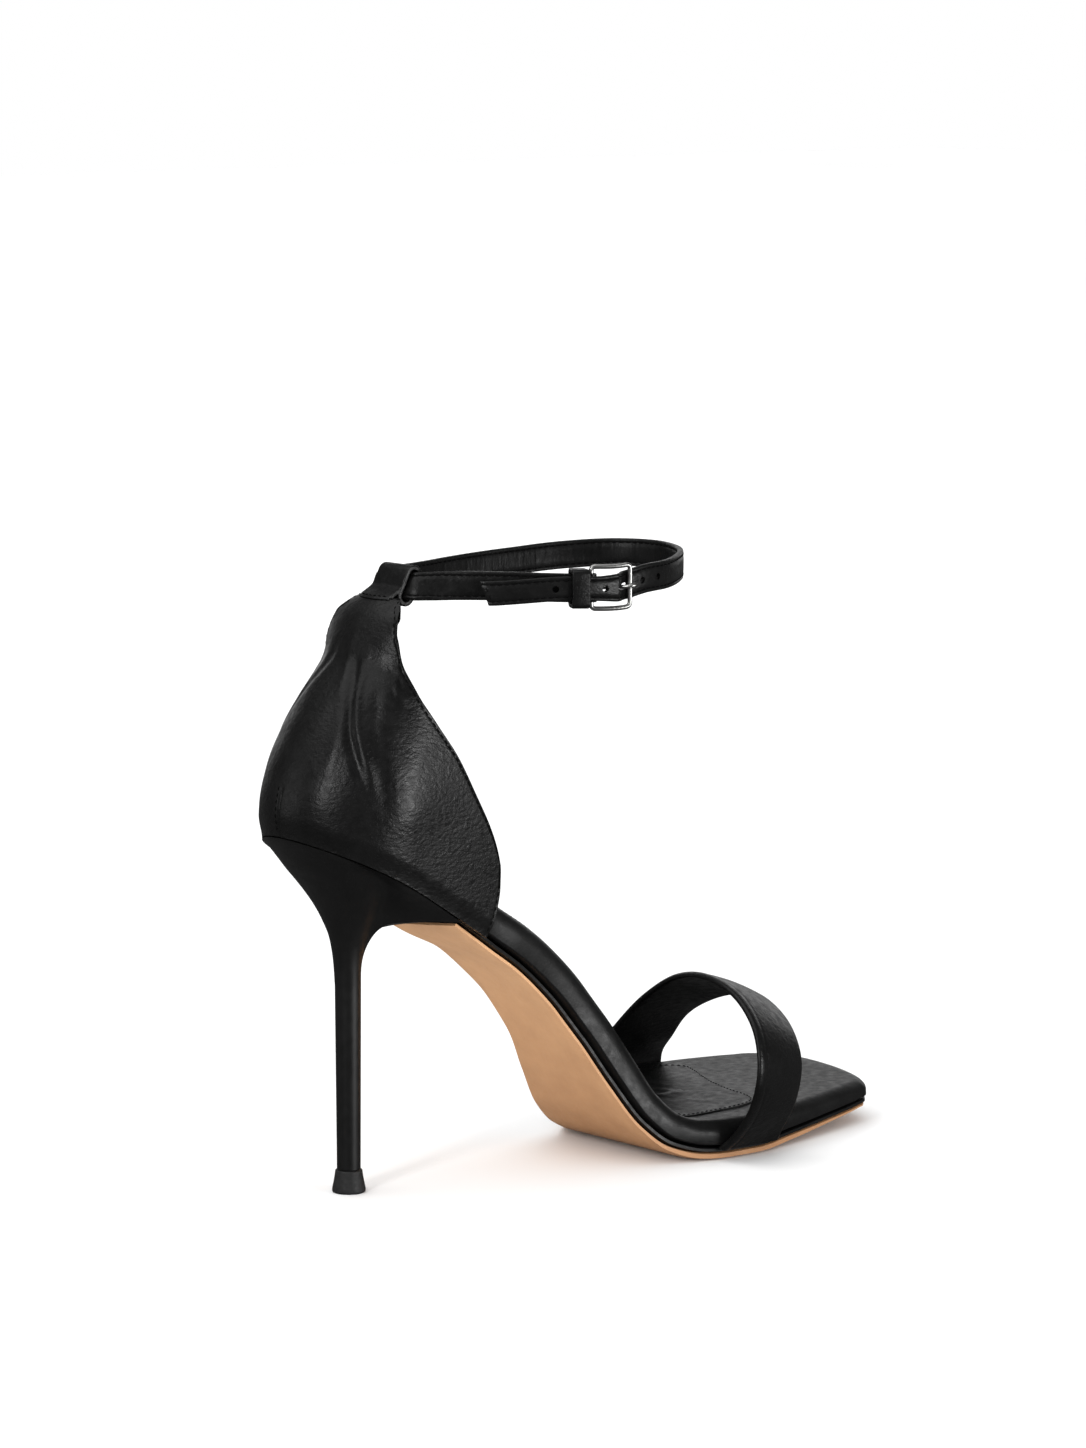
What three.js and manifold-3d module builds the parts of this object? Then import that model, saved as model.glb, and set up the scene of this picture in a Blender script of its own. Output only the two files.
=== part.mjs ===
// Strappy sandal on a tall slim heel, the right shoe, in millimetres.
// X runs forward to the toe, Y to the medial side and Z up.
// The origin is on the floor, in the middle of the heel tip's underside.

import * as THREE from 'three';
import { mergeVertices } from 'three/addons/utils/BufferGeometryUtils.js';
import Module from 'manifold-3d';

const wasm = await Module();
wasm.setup();

// Driving sizes of the last and the sole
const footLength = 213.5;
const heelSet = 23.8;
const heelHeight = 105;
const ballWidth = 80;
const seatWidth = 50;
const toeSpring = 3.8;
const toeDepth = 13;
const toeRound = 1.7;
const toePoint = 12;

// Thicknesses of the sole's layers
const clearance = 0.3;
const layerGap = 0.4;
const outsoleBall = 2.1;
const outsoleWaist = 1.4;
const outsoleToe = 1.0;
const outsoleInset = 0.6;
const boardThickness = 1.3;
const padWaist = 9.5;
const padBall = 7.4;
const padToe = 4.9;
const padBulge = 2.6;
const padRound = 4;

// Heel and its top piece
const pinTopRadius = 3.75;
const pinFootRadius = 3.4;
const pinTopHeight = 60;
const tipHeight = 6.5;
const tipTopRadius = 3.9;
const tipFootRadius = 4.85;
const tipEdge = 0.5;
const breastSet = 26.7;
const breastSkew = 0.22;

// Counter round the heel of the foot, with the loop that holds the ankle strap
const upperWall = 1.8;
const counterHeight = 65;
const counterBulge = 1.0;
const bulgeRise = 7;
const loopTabWidth = 13.2;
const loopTabWall = 1.4;
const loopTabLean = 27;
const loopTabSet = 18;

// Band over the forefoot
const bandWidth = 26;
const bandRise = 45.5;
const bandSet = 103;
const bandSkew = 15;
const bandLean = 10;

// Ankle strap, its keeper and its buckle
const strapWidth = 8.2;
const strapThickness = 1.8;
const strapTop = 177.4;
const strapPitch = 0.02;
const ankleLength = 96.5;
const ankleWidth = 60;
const overlapGap = 0.5;
const buckleLength = 12.5;
const buckleHeight = 13.4;
const buckleWire = 1.4;
const buckleSet = 58.8;
const prongWire = 1.1;
const holeSet = 2.8;
const holePitch = 6.9;
const holeRadius = 0.95;
const tailLength = 30.8;
const tailWidth = 7.0;
const tailDrop = 1.9;
const tipSlant = 1.4;
const keeperLength = 4.7;
const keeperWall = 1.2;

const leather = { roughness: 0.45, metalness: 0 };
const black = new THREE.MeshStandardMaterial({ color: 0x141414, ...leather });
const blackPad = new THREE.MeshStandardMaterial({ color: 0x1b1a1b, ...leather });
const blackHeel = new THREE.MeshStandardMaterial({ color: 0x101011, roughness: 0.35, metalness: 0 });
const blackRubber = new THREE.MeshStandardMaterial({ color: 0x161617, roughness: 0.8, metalness: 0 });
const tan = new THREE.MeshStandardMaterial({ color: 0xb08664, roughness: 0.6, metalness: 0 });
const silver = new THREE.MeshStandardMaterial({ color: 0xc4c5c8, roughness: 0.25, metalness: 1 });

// Small helpers

function vector(x, y, z) {
  return new THREE.Vector3(x, y, z);
}

function mix(a, b, share) {
  return a + (b - a) * share;
}

function ease(value) {
  const t = Math.min(1, Math.max(0, value));
  return t * t * (3 - 2 * t);
}

// A smooth curve through one column of a table, with no overshoot between its rows.
function column(rows, from, to) {
  const x = rows.map((row) => row[from]);
  const y = rows.map((row) => row[to]);
  const slopes = x.slice(1).map((next, i) => (y[i + 1] - y[i]) / (next - x[i]));
  const tangents = x.map((unused, i) => {
    const before = slopes[Math.max(0, i - 1)];
    const after = slopes[Math.min(slopes.length - 1, i)];
    return before * after <= 0 ? 0 : (2 * before * after) / (before + after);
  });
  return (value) => {
    const inside = Math.min(x[x.length - 1], Math.max(x[0], value));
    let i = 0;
    while (i < x.length - 2 && inside > x[i + 1]) i += 1;
    const run = x[i + 1] - x[i];
    const t = (inside - x[i]) / run;
    const start = (1 + 2 * t) * (1 - t) * (1 - t) * y[i] + t * (1 - t) * (1 - t) * run * tangents[i];
    const end = t * t * (3 - 2 * t) * y[i + 1] - t * t * (1 - t) * run * tangents[i + 1];
    return start + end;
  };
}

// Where equal steps of length fall along a polyline: the segment and the share along it.
function equalSteps(points, count) {
  const lengths = [0];
  for (let i = 1; i < points.length; i += 1) {
    lengths.push(lengths[i - 1] + points[i].distanceTo(points[i - 1]));
  }
  const total = lengths[lengths.length - 1];
  return Array.from({ length: count }, (unused, k) => {
    const target = (total * k) / (count - 1);
    let i = 0;
    while (i < points.length - 2 && lengths[i + 1] < target) i += 1;
    return { i, share: (target - lengths[i]) / (lengths[i + 1] - lengths[i]) };
  });
}

function evenly(points, count) {
  return equalSteps(points, count).map(({ i, share }) => points[i].clone().lerp(points[i + 1], share));
}

// A closed body through rings with an even and equal number of points.
// An open run of rings is capped by strips between a ring's first half and its second half.
function loft(rings, closed = false) {
  const count = rings[0].length;
  const positions = rings.flat().flatMap((p) => [p.x, p.y, p.z]);
  const faces = [];
  const quad = (a, b, c, d) => faces.push(a, b, c, a, c, d);
  const spans = closed ? rings.length : rings.length - 1;
  for (let r = 0; r < spans; r += 1) {
    const near = r * count;
    const far = ((r + 1) % rings.length) * count;
    for (let i = 0; i < count; i += 1) {
      const next = (i + 1) % count;
      quad(near + i, near + next, far + next, far + i);
    }
  }
  if (!closed) {
    const last = (rings.length - 1) * count;
    for (let i = 0; i < count / 2 - 1; i += 1) {
      const across = count - 1 - i;
      quad(i, across, across - 1, i + 1);
      quad(last + i, last + i + 1, last + across - 1, last + across);
    }
  }
  return outward(positions, faces);
}

// Turns the faces of a closed body outward.
function outward(positions, faces) {
  let volume = 0;
  const corner = (i) => vector(positions[3 * i], positions[3 * i + 1], positions[3 * i + 2]);
  for (let i = 0; i < faces.length; i += 3) {
    const [a, b, c] = [corner(faces[i]), corner(faces[i + 1]), corner(faces[i + 2])];
    volume += a.dot(b.cross(c));
  }
  if (volume < 0) faces.reverse();
  const geometry = new THREE.BufferGeometry();
  geometry.setAttribute('position', new THREE.Float32BufferAttribute(positions, 3));
  geometry.setIndex(faces);
  return geometry;
}

function toSolid(geometry) {
  const bare = geometry.clone();
  bare.deleteAttribute('normal');
  bare.deleteAttribute('uv');
  const merged = mergeVertices(bare, 1e-4);
  const corners = Array.from(merged.index.array);
  const faces = [];
  for (let i = 0; i < corners.length; i += 3) {
    const [a, b, c] = corners.slice(i, i + 3);
    if (a !== b && b !== c && c !== a) faces.push(a, b, c);
  }
  return new wasm.Manifold(new wasm.Mesh({
    numProp: 3,
    vertProperties: new Float32Array(merged.attributes.position.array),
    triVerts: new Uint32Array(faces),
  }));
}

function toGeometry(solid) {
  const mesh = solid.getMesh();
  const geometry = new THREE.BufferGeometry();
  geometry.setAttribute('position', new THREE.Float32BufferAttribute(mesh.vertProperties, 3));
  geometry.setIndex(Array.from(mesh.triVerts));
  return geometry;
}

const shoe = new THREE.Group();

function piece(name, geometry, material) {
  geometry.computeVertexNormals();
  const mesh = new THREE.Mesh(geometry, material);
  mesh.name = name;
  shoe.add(mesh);
}

// The last's underside: its height on the centre line, as shares of the drop and the toe spring.
const soleBack = -heelSet;
const toeFront = soleBack + footLength;
const ballLift = outsoleBall + layerGap;
const archPivot = 0.25;
const heelDrop = heelHeight - ballLift;
const bottomLine = [
  { along: 0.000, rise: 1.000, spring: 0, cant: 0 },
  { along: 0.118, rise: 0.872, spring: 0, cant: 0 },
  { along: 0.211, rise: 0.751, spring: 0, cant: 0 },
  { along: 0.281, rise: 0.653, spring: 0, cant: 0.02 },
  { along: 0.337, rise: 0.572, spring: 0, cant: 0.065 },
  { along: 0.388, rise: 0.472, spring: 0, cant: 0.05 },
  { along: 0.430, rise: 0.355, spring: 0, cant: 0.02 },
  { along: 0.472, rise: 0.217, spring: 0, cant: 0 },
  { along: 0.510, rise: 0.100, spring: 0, cant: 0 },
  { along: 0.552, rise: 0.030, spring: 0, cant: 0 },
  { along: 0.598, rise: 0.003, spring: 0, cant: 0 },
  { along: 0.622, rise: 0.000, spring: 0, cant: 0 },
  { along: 0.680, rise: 0.000, spring: 0, cant: 0 },
  { along: 0.762, rise: 0.000, spring: 0.28, cant: 0 },
  { along: 0.911, rise: 0.000, spring: 0.78, cant: 0 },
  { along: 1.000, rise: 0.000, spring: 1, cant: 0 },
];
const riseAt = column(bottomLine, 'along', 'rise');
const springAt = column(bottomLine, 'along', 'spring');
const cantAt = column(bottomLine, 'along', 'cant');

function alongAt(x) {
  return (x - soleBack) / footLength;
}

// The arch side is lifted a little; the lateral edge is the line that the cant turns about.
function bottomHeight(x, y = 0) {
  const along = alongAt(x);
  const cant = cantAt(along) * (y + archPivot * ballWidth);
  return ballLift + heelDrop * riseAt(along) + toeSpring * springAt(along) + cant;
}

// Where a point lies that is set off square from the last's underside.
function offBottom(x, y, lift) {
  const step = 0.5;
  const slope = (bottomHeight(x + step, y) - bottomHeight(x - step, y)) / (2 * step);
  const length = Math.hypot(1, slope);
  return vector(x - (slope / length) * lift, y, bottomHeight(x, y) + lift / length);
}

// The board's outline from above, as shares of the ball width on each side of the centre line.
const outline = [
  { along: 0.127, lateral: 0.286, medial: 0.286 },
  { along: 0.211, lateral: 0.282, medial: 0.275 },
  { along: 0.262, lateral: 0.269, medial: 0.256 },
  { along: 0.318, lateral: 0.254, medial: 0.219 },
  { along: 0.360, lateral: 0.248, medial: 0.198 },
  { along: 0.402, lateral: 0.259, medial: 0.158 },
  { along: 0.435, lateral: 0.288, medial: 0.145 },
  { along: 0.472, lateral: 0.325, medial: 0.182 },
  { along: 0.510, lateral: 0.375, medial: 0.225 },
  { along: 0.552, lateral: 0.416, medial: 0.260 },
  { along: 0.594, lateral: 0.454, medial: 0.350 },
  { along: 0.640, lateral: 0.482, medial: 0.455 },
  { along: 0.692, lateral: 0.485, medial: 0.516 },
  { along: 0.762, lateral: 0.452, medial: 0.528 },
  { along: 0.837, lateral: 0.404, medial: 0.506 },
  { along: 0.911, lateral: 0.350, medial: 0.441 },
  { along: 0.939, lateral: 0.322, medial: 0.406 },
];
const outlineSides = {
  lateral: column(outline, 'along', 'lateral'),
  medial: column(outline, 'along', 'medial'),
};
const seatDepth = 0.54 * seatWidth;
const boardInset = upperWall + clearance;
const boardBack = soleBack + boardInset;
const boardSeatEnd = boardBack + seatDepth - boardInset;
const boardToe = toeFront - toeDepth;

// Distance from the centre line to the board's edge; the medial side is +1 and the lateral side -1.
function boardEdge(x, side, grow = 0) {
  const sideAt = side > 0 ? outlineSides.medial : outlineSides.lateral;
  if (x < boardSeatEnd) {
    const depth = boardSeatEnd - boardBack + grow;
    const share = Math.min(1, Math.max(0, (boardSeatEnd - x) / depth));
    const half = ballWidth * sideAt(alongAt(boardSeatEnd)) + grow;
    return side * half * Math.sqrt(1 - share * share);
  }
  if (x > boardToe) {
    const share = Math.min(1, Math.max(0, (x - boardToe) / (toeDepth + grow)));
    const corner = ballWidth * sideAt(alongAt(boardToe)) + grow;
    const fall = (1 - share ** toeRound) ** (1 / toeRound);
    return toePoint + (side * corner - toePoint) * fall;
  }
  return side * (ballWidth * sideAt(alongAt(x)) + grow);
}

// Stations from a back end to the toe: close together round the two ends, even between them.
const seatTurns = [9, 20, 33, 47, 61, 75];
const toeTurns = [20, 38, 55, 70, 82];

function stations(back, count, grow) {
  const seatDepth = boardSeatEnd - boardBack + grow;
  const seatAt = (turn) => boardSeatEnd - seatDepth * Math.cos(turn * THREE.MathUtils.DEG2RAD);
  const seat = back < boardSeatEnd ? seatTurns.map(seatAt) : [];
  const start = Math.max(back, boardSeatEnd);
  const line = [];
  for (let x = start; x < boardToe; x += 1) line.push(vector(x, 0, bottomHeight(x)));
  line.push(vector(boardToe, 0, bottomHeight(boardToe)));
  const middle = evenly(line, count).map((p) => p.x);
  const toeAt = (turn) => boardToe + (toeDepth + grow) * Math.sin(turn * THREE.MathUtils.DEG2RAD);
  return [...seat, ...middle, ...toeTurns.map(toeAt)];
}

// How far a point is from an outline's edge, from above.
function edgeDistance(border, x, y) {
  let nearest = Infinity;
  for (let i = 0; i < border.length; i += 1) {
    const a = border[i];
    const b = border[(i + 1) % border.length];
    const run = (b[0] - a[0]) ** 2 + (b[1] - a[1]) ** 2;
    const t = run === 0 ? 0 : ((x - a[0]) * (b[0] - a[0]) + (y - a[1]) * (b[1] - a[1])) / run;
    const share = Math.min(1, Math.max(0, t));
    nearest = Math.min(nearest, Math.hypot(x - mix(a[0], b[0], share), y - mix(a[1], b[1], share)));
  }
  return nearest;
}

// One layer of the sole: its outline, and its two faces as lifts off the last's underside.
// Its back end may be cut on a slant, which fades out over a short run.
const skewRun = 28;
const stationCount = 34;

function soleLayer({ back, across, edge, grow, low, high, skew = 0 }) {
  const xs = stations(back, stationCount, grow);
  const border = [...xs.map((x) => [x, edge(x, -1)]), ...xs.map((x) => [x, edge(x, 1)]).reverse()];
  const rings = xs.map((x) => {
    const ys = Array.from({ length: across + 1 }, (unused, k) => {
      const share = (1 - Math.cos((Math.PI * k) / across)) / 2;
      return mix(edge(x, -1), edge(x, 1), share);
    });
    const slant = skew * (1 - ease((x - back) / skewRun));
    const upper = ys.map((y) => offBottom(x + slant * y, y, high(x, edgeDistance(border, x, y))));
    const lower = ys.map((y) => offBottom(x + slant * y, y, low(x, edgeDistance(border, x, y))));
    return [...upper, ...lower.reverse()];
  });
  return loft(rings);
}

// Breast of the heel, where the outsole starts
function breastX(y) {
  return breastSet + breastSkew * y;
}

// Shares of the foot's length where the outsole thickens past the waist and thins again to the toe
const waistEnd = 0.50;
const waistFade = 0.09;
const toeStart = 0.72;
const toeFade = 0.25;

function outsoleDepth(x) {
  const thicker = ease((alongAt(x) - waistEnd) / waistFade);
  const thinner = ease((alongAt(x) - toeStart) / toeFade);
  return mix(mix(outsoleWaist, outsoleBall, thicker), outsoleToe, thinner);
}

const bevelWidth = 4;
const edgeShare = 0.4;

function addOutsole() {
  piece('outsole', soleLayer({
    back: breastSet + 2 * clearance,
    skew: breastSkew,
    across: 8,
    grow: -outsoleInset,
    edge: (x, side) => boardEdge(x, side, -outsoleInset),
    low: (x, distance) => {
      const inward = ease(0.5 + distance / bevelWidth / 2);
      return -layerGap - outsoleDepth(x) * mix(edgeShare, 1, inward);
    },
    high: () => -layerGap,
  }), tan);
}

function addBoard() {
  piece('insole_board', soleLayer({
    back: boardBack,
    across: 6,
    grow: 0,
    edge: boardEdge,
    low: () => 0,
    high: () => boardThickness,
  }), black);
}

// Padded footbed: its thickness and how far its side swells past the board
const padTable = [
  { along: 0.000, waist: 0.62, ball: 0, toe: 0, bulge: 0 },
  { along: 0.211, waist: 0.90, ball: 0, toe: 0, bulge: 0 },
  { along: 0.262, waist: 1.00, ball: 0, toe: 0, bulge: 0.15 },
  { along: 0.310, waist: 1.00, ball: 0, toe: 0, bulge: 0.80 },
  { along: 0.380, waist: 1.00, ball: 0, toe: 0, bulge: 1.00 },
  { along: 0.450, waist: 1.00, ball: 0, toe: 0, bulge: 0.90 },
  { along: 0.520, waist: 0.50, ball: 0.50, toe: 0, bulge: 0.50 },
  { along: 0.590, waist: 0, ball: 1.00, toe: 0, bulge: 0.25 },
  { along: 0.700, waist: 0, ball: 0.95, toe: 0.05, bulge: 0.20 },
  { along: 0.850, waist: 0, ball: 0.30, toe: 0.70, bulge: 0.20 },
  { along: 1.000, waist: 0, ball: 0, toe: 1.00, bulge: 0.20 },
];
const padColumns = {
  waist: column(padTable, 'along', 'waist'),
  ball: column(padTable, 'along', 'ball'),
  toe: column(padTable, 'along', 'toe'),
  bulge: column(padTable, 'along', 'bulge'),
};

function padThickness(x) {
  const at = alongAt(x);
  return padWaist * padColumns.waist(at) + padBall * padColumns.ball(at) + padToe * padColumns.toe(at);
}

function padEdge(x, side) {
  return boardEdge(x, side, padBulge * padColumns.bulge(alongAt(x)));
}

const padFloor = boardThickness + layerGap;

function addFootbed() {
  const fullness = (distance) => {
    const share = 1 - Math.min(1, distance / padRound);
    return mix(0.3, 1, Math.sqrt(1 - share * share));
  };
  const lift = (x, distance, sign) => {
    const half = padThickness(x) / 2;
    return padFloor + half + sign * half * fullness(distance);
  };
  piece('footbed', soleLayer({
    back: boardBack,
    across: 12,
    grow: padBulge * padColumns.bulge(1),
    edge: padEdge,
    low: (x, distance) => lift(x, distance, -1),
    high: (x, distance) => lift(x, distance, 1),
  }), blackPad);
}

// Counter: plan sections at several heights above the back of the seat, as shares of the seat width.
const counterLevels = [
  { up: -0.55, back: 0.000, half: 0.494, depth: 0.53 },
  { up: -0.24, back: 0.000, half: 0.510, depth: 0.53 },
  { up: 0.00, back: 0.000, half: 0.517, depth: 0.53 },
  { up: 0.11, back: 0.008, half: 0.515, depth: 0.53 },
  { up: 0.28, back: 0.062, half: 0.505, depth: 0.53 },
  { up: 0.42, back: 0.150, half: 0.480, depth: 0.50 },
  { up: 0.58, back: 0.290, half: 0.442, depth: 0.45 },
  { up: 0.74, back: 0.460, half: 0.415, depth: 0.36 },
  { up: 0.84, back: 0.520, half: 0.420, depth: 0.28 },
  { up: 0.92, back: 0.582, half: 0.430, depth: 0.24 },
  { up: 0.96, back: 0.628, half: 0.360, depth: 0.22 },
  { up: 1.00, back: 0.690, half: 0.240, depth: 0.20 },
];
const counterBack = column(counterLevels, 'up', 'back');
const counterHalf = column(counterLevels, 'up', 'half');
const counterDepth = column(counterLevels, 'up', 'depth');

// Free front edge of the counter: how far forward it reaches at each height.
const toplineTable = [
  { up: -0.52, reach: 1.112 },
  { up: -0.35, reach: 1.185 },
  { up: -0.20, reach: 1.188 },
  { up: -0.08, reach: 1.152 },
  { up: 0.03, reach: 1.088 },
  { up: 0.15, reach: 1.005 },
  { up: 0.34, reach: 0.870 },
  { up: 0.48, reach: 0.748 },
  { up: 0.61, reach: 0.650 },
  { up: 0.74, reach: 0.610 },
  { up: 0.84, reach: 0.606 },
  { up: 0.91, reach: 0.628 },
  { up: 0.96, reach: 0.668 },
  { up: 1.00, reach: 0.740 },
];
const toplineReach = column(toplineTable, 'up', 'reach');
const roundShare = 0.6;
const wingReach = 1.22;

// A section's point from its turn: 0 at the back, roundShare where the round part ends, 1 at the front.
function counterPlan(turn, up, side) {
  const back = soleBack + seatWidth * counterBack(up);
  const half = seatWidth * counterHalf(up);
  const depth = seatWidth * counterDepth(up);
  const z = heelHeight + counterHeight * up;
  if (turn <= roundShare) {
    const angle = (turn / roundShare) * (Math.PI / 2);
    return vector(back + depth * (1 - Math.cos(angle)), side * half * Math.sin(angle), z);
  }
  const front = soleBack + seatWidth * wingReach;
  const share = (turn - roundShare) / (1 - roundShare);
  const taper = 0.04 * half * share * share;
  return vector(mix(back + depth, front, share), side * (half - taper), z);
}

// The turn at which a section reaches a place along the shoe.
function turnAt(x, up) {
  const back = soleBack + seatWidth * counterBack(up);
  const depth = seatWidth * counterDepth(up);
  if (x <= back + depth) {
    const angle = Math.acos(Math.min(1, Math.max(-1, 1 - (x - back) / depth)));
    return (roundShare * angle) / (Math.PI / 2);
  }
  const front = soleBack + seatWidth * wingReach;
  return roundShare + ((1 - roundShare) * (x - back - depth)) / (front - back - depth);
}

// The seam where the counter meets the heel follows the last's underside.
function seamUp(turn, side) {
  let up = 0;
  for (let pass = 0; pass < 12; pass += 1) {
    const { x, y } = counterPlan(turn, up, side);
    up = (bottomHeight(x, y) - heelHeight) / counterHeight;
  }
  return up;
}

function seamPoint(turn, side) {
  return counterPlan(turn, seamUp(turn, side), side);
}

// A point of the counter's wall, set off square from its outer form.
function counterPoint(turn, up, side, offset) {
  const step = 0.004;
  const here = counterPlan(turn, up, side);
  const onTurn = counterPlan(turn + step, up, side).sub(counterPlan(Math.max(0, turn - step), up, side));
  const onRise = counterPlan(turn, up + step, side).sub(counterPlan(turn, up - step, side));
  const normal = onTurn.cross(onRise).normalize().multiplyScalar(side);
  const aboveSeam = counterHeight * (up - seamUp(turn, side));
  const bulge = counterBulge * ease(aboveSeam / bulgeRise);
  return here.addScaledVector(normal, -(bulge + offset));
}

const counterColumns = 13;
const counterRows = 10;

// Pairs of turn and height at equal steps along one half of the counter's lower or upper border.
function counterBorder(pairs, side) {
  const line = pairs.map(([turn, up]) => counterPlan(turn, up, side));
  return equalSteps(line, counterColumns).map(({ i, share }) => [
    mix(pairs[i][0], pairs[i + 1][0], share),
    mix(pairs[i][1], pairs[i + 1][1], share),
  ]);
}

function counterHalfGrid(side) {
  const frontLow = -0.515;
  const frontHigh = -0.17;
  const cornerTurn = turnAt(soleBack + seatWidth * toplineReach(frontLow), frontLow);
  const samples = 60;
  const seam = [];
  for (let i = 0; i <= samples; i += 1) {
    const turn = (cornerTurn * i) / samples;
    seam.push([turn, seamUp(turn, side)]);
  }
  const top = [];
  const shoulder = turnAt(soleBack + seatWidth * toplineReach(1), 1);
  for (let i = 0; i < 10; i += 1) top.push([(shoulder * i) / 10, 1]);
  for (let i = 0; i <= samples; i += 1) {
    const up = mix(1, frontHigh, i / samples);
    top.push([turnAt(soleBack + seatWidth * toplineReach(up), up), up]);
  }
  const low = counterBorder(seam, side);
  const high = counterBorder(top, side);
  return low.map((from, i) => Array.from({ length: counterRows + 1 }, (unused, j) => {
    const share = j / counterRows;
    return [mix(from[0], high[i][0], share), mix(from[1], high[i][1], share)];
  }));
}

// Loop at the top of the counter: a leather tab folded over the ankle strap.
// Its section is a slot with round ends, leaning forward.
const loopCentre = strapTop - strapWidth / 2;

function loopPlace(out, side, up) {
  const lean = loopTabLean * THREE.MathUtils.DEG2RAD;
  return vector(
    loopTabSet + out * Math.cos(lean) + up * Math.sin(lean),
    side * (loopTabWidth / 2),
    loopCentre - out * Math.sin(lean) + up * Math.cos(lean));
}

function loopTab() {
  const holeRound = strapThickness / 2 + 2 * clearance;
  const holeHalf = strapWidth / 2 + 2 * clearance;
  const rings = [];
  for (const end of [1, -1]) {
    for (let step = 0; step <= 6; step += 1) {
      const angle = (Math.PI * step) / 6;
      const out = end * Math.cos(angle);
      const up = end * Math.sin(angle);
      const centre = end * (holeHalf - holeRound);
      const inner = [out * holeRound, centre + up * holeRound];
      const outer = [out * (holeRound + loopTabWall), centre + up * (holeRound + loopTabWall)];
      rings.push([loopPlace(outer[0], -1, outer[1]), loopPlace(outer[0], 1, outer[1]),
        loopPlace(inner[0], 1, inner[1]), loopPlace(inner[0], -1, inner[1])]);
    }
  }
  return loft(rings, true);
}

// The tab's stem runs from the wall of the counter forward to the loop's lower back.
const stemFoot = 0.89;
const stemSink = 0.6;
const stemBend = { forward: 0.4, rise: 0.75 };

function tabStem() {
  const start = counterPoint(0, stemFoot, 1, -upperWall / 2);
  const back = -(strapThickness + loopTabWall) / 2;
  const end = loopPlace(back, 1, -strapWidth / 2 - stemSink * loopTabWall);
  const bend = vector(mix(start.x, end.x, stemBend.forward), 0, mix(start.z, end.z, stemBend.rise));
  const line = new THREE.QuadraticBezierCurve3(start, bend, end);
  const rings = [0, 0.25, 0.5, 0.75, 1].map((share) => {
    const p = line.getPoint(share);
    const tangent = line.getTangent(share);
    const normal = vector(-tangent.z, 0, tangent.x).normalize();
    return [[1, 1], [1, -1], [-1, -1], [-1, 1]].map(([off, side]) => {
      const corner = p.clone().addScaledVector(normal, (off * loopTabWall) / 2);
      return corner.setY((side * loopTabWidth) / 2);
    });
  });
  return loft(rings);
}

function addCounter() {
  const lateral = counterHalfGrid(-1).map((line) => line.map((pair) => [...pair, -1]));
  const medial = counterHalfGrid(1).map((line) => line.map((pair) => [...pair, 1]));
  const lines = [...lateral.slice(1).reverse(), ...medial];
  const rings = lines.map((line) => {
    const outer = line.map(([turn, up, side]) => counterPoint(turn, up, side, 0));
    const inner = line.map(([turn, up, side]) => counterPoint(turn, up, side, -upperWall));
    return [...outer, ...inner.reverse()];
  });
  const shell = toSolid(loft(rings));
  const loop = toSolid(loopTab()).add(toSolid(tabStem()));
  piece('counter', toGeometry(shell.add(loop)), black);
}

// Heel: from the seat's outline down into a slim pin.
const heelFlare = [
  { height: 1.00, back: 1.000, breast: 1.000 },
  { height: 0.98, back: 0.975, breast: 0.420 },
  { height: 0.94, back: 0.910, breast: 0.215 },
  { height: 0.88, back: 0.815, breast: 0.150 },
  { height: 0.80, back: 0.690, breast: 0.098 },
  { height: 0.72, back: 0.550, breast: 0.068 },
  { height: 0.64, back: 0.420, breast: 0.046 },
  { height: 0.56, back: 0.305, breast: 0.030 },
  { height: 0.46, back: 0.190, breast: 0.015 },
  { height: 0.32, back: 0.075, breast: 0.005 },
  { height: 0.15, back: 0.020, breast: 0.000 },
  { height: 0.00, back: 0.000, breast: 0.000 },
];

// Shares of the seam's turn: where the rim starts beside the back, and where the breast meets it
const rimStart = 0.04;
const breastTurn = 0.8;
const breastReach = 0.47;

function heelRim() {
  const sideSteps = 11;
  const breastSteps = 3;
  const half = (side) => {
    const limit = breastX(side * seatWidth * breastReach);
    const turn = turnAt(limit, seamUp(breastTurn, side));
    const points = Array.from({ length: sideSteps }, (unused, i) => (
      seamPoint(turn * mix(rimStart, 1, i / (sideSteps - 1)), side)));
    const corner = points[points.length - 1];
    for (let i = 1; i <= breastSteps; i += 1) {
      const y = corner.y * (1 - (2 * i) / (2 * breastSteps + 1));
      points.push(vector(breastX(y), y, 0));
    }
    return points.map((p) => vector(p.x, p.y, bottomHeight(p.x, p.y) - layerGap));
  };
  return [...half(-1), ...half(1).reverse()];
}

function addHeel() {
  const rim = heelRim();
  const pinFoot = tipHeight + clearance;
  const flare = heelFlare.map((row) => rim.map((p) => {
    const angle = Math.atan2(p.y, p.x);
    const forward = (1 + Math.cos(angle)) / 2;
    const share = mix(row.back, row.breast, ease(forward));
    const radius = mix(pinTopRadius, Math.hypot(p.x, p.y), share);
    return vector(radius * Math.cos(angle), radius * Math.sin(angle), mix(pinTopHeight, p.z, row.height));
  }));
  const pin = [0.5, 1].map((share) => rim.map((p) => {
    const angle = Math.atan2(p.y, p.x);
    const radius = mix(pinTopRadius, pinFootRadius, share);
    return vector(radius * Math.cos(angle), radius * Math.sin(angle), mix(pinTopHeight, pinFoot, share));
  }));
  piece('heel', loft([...flare, ...pin]), blackHeel);
}

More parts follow.
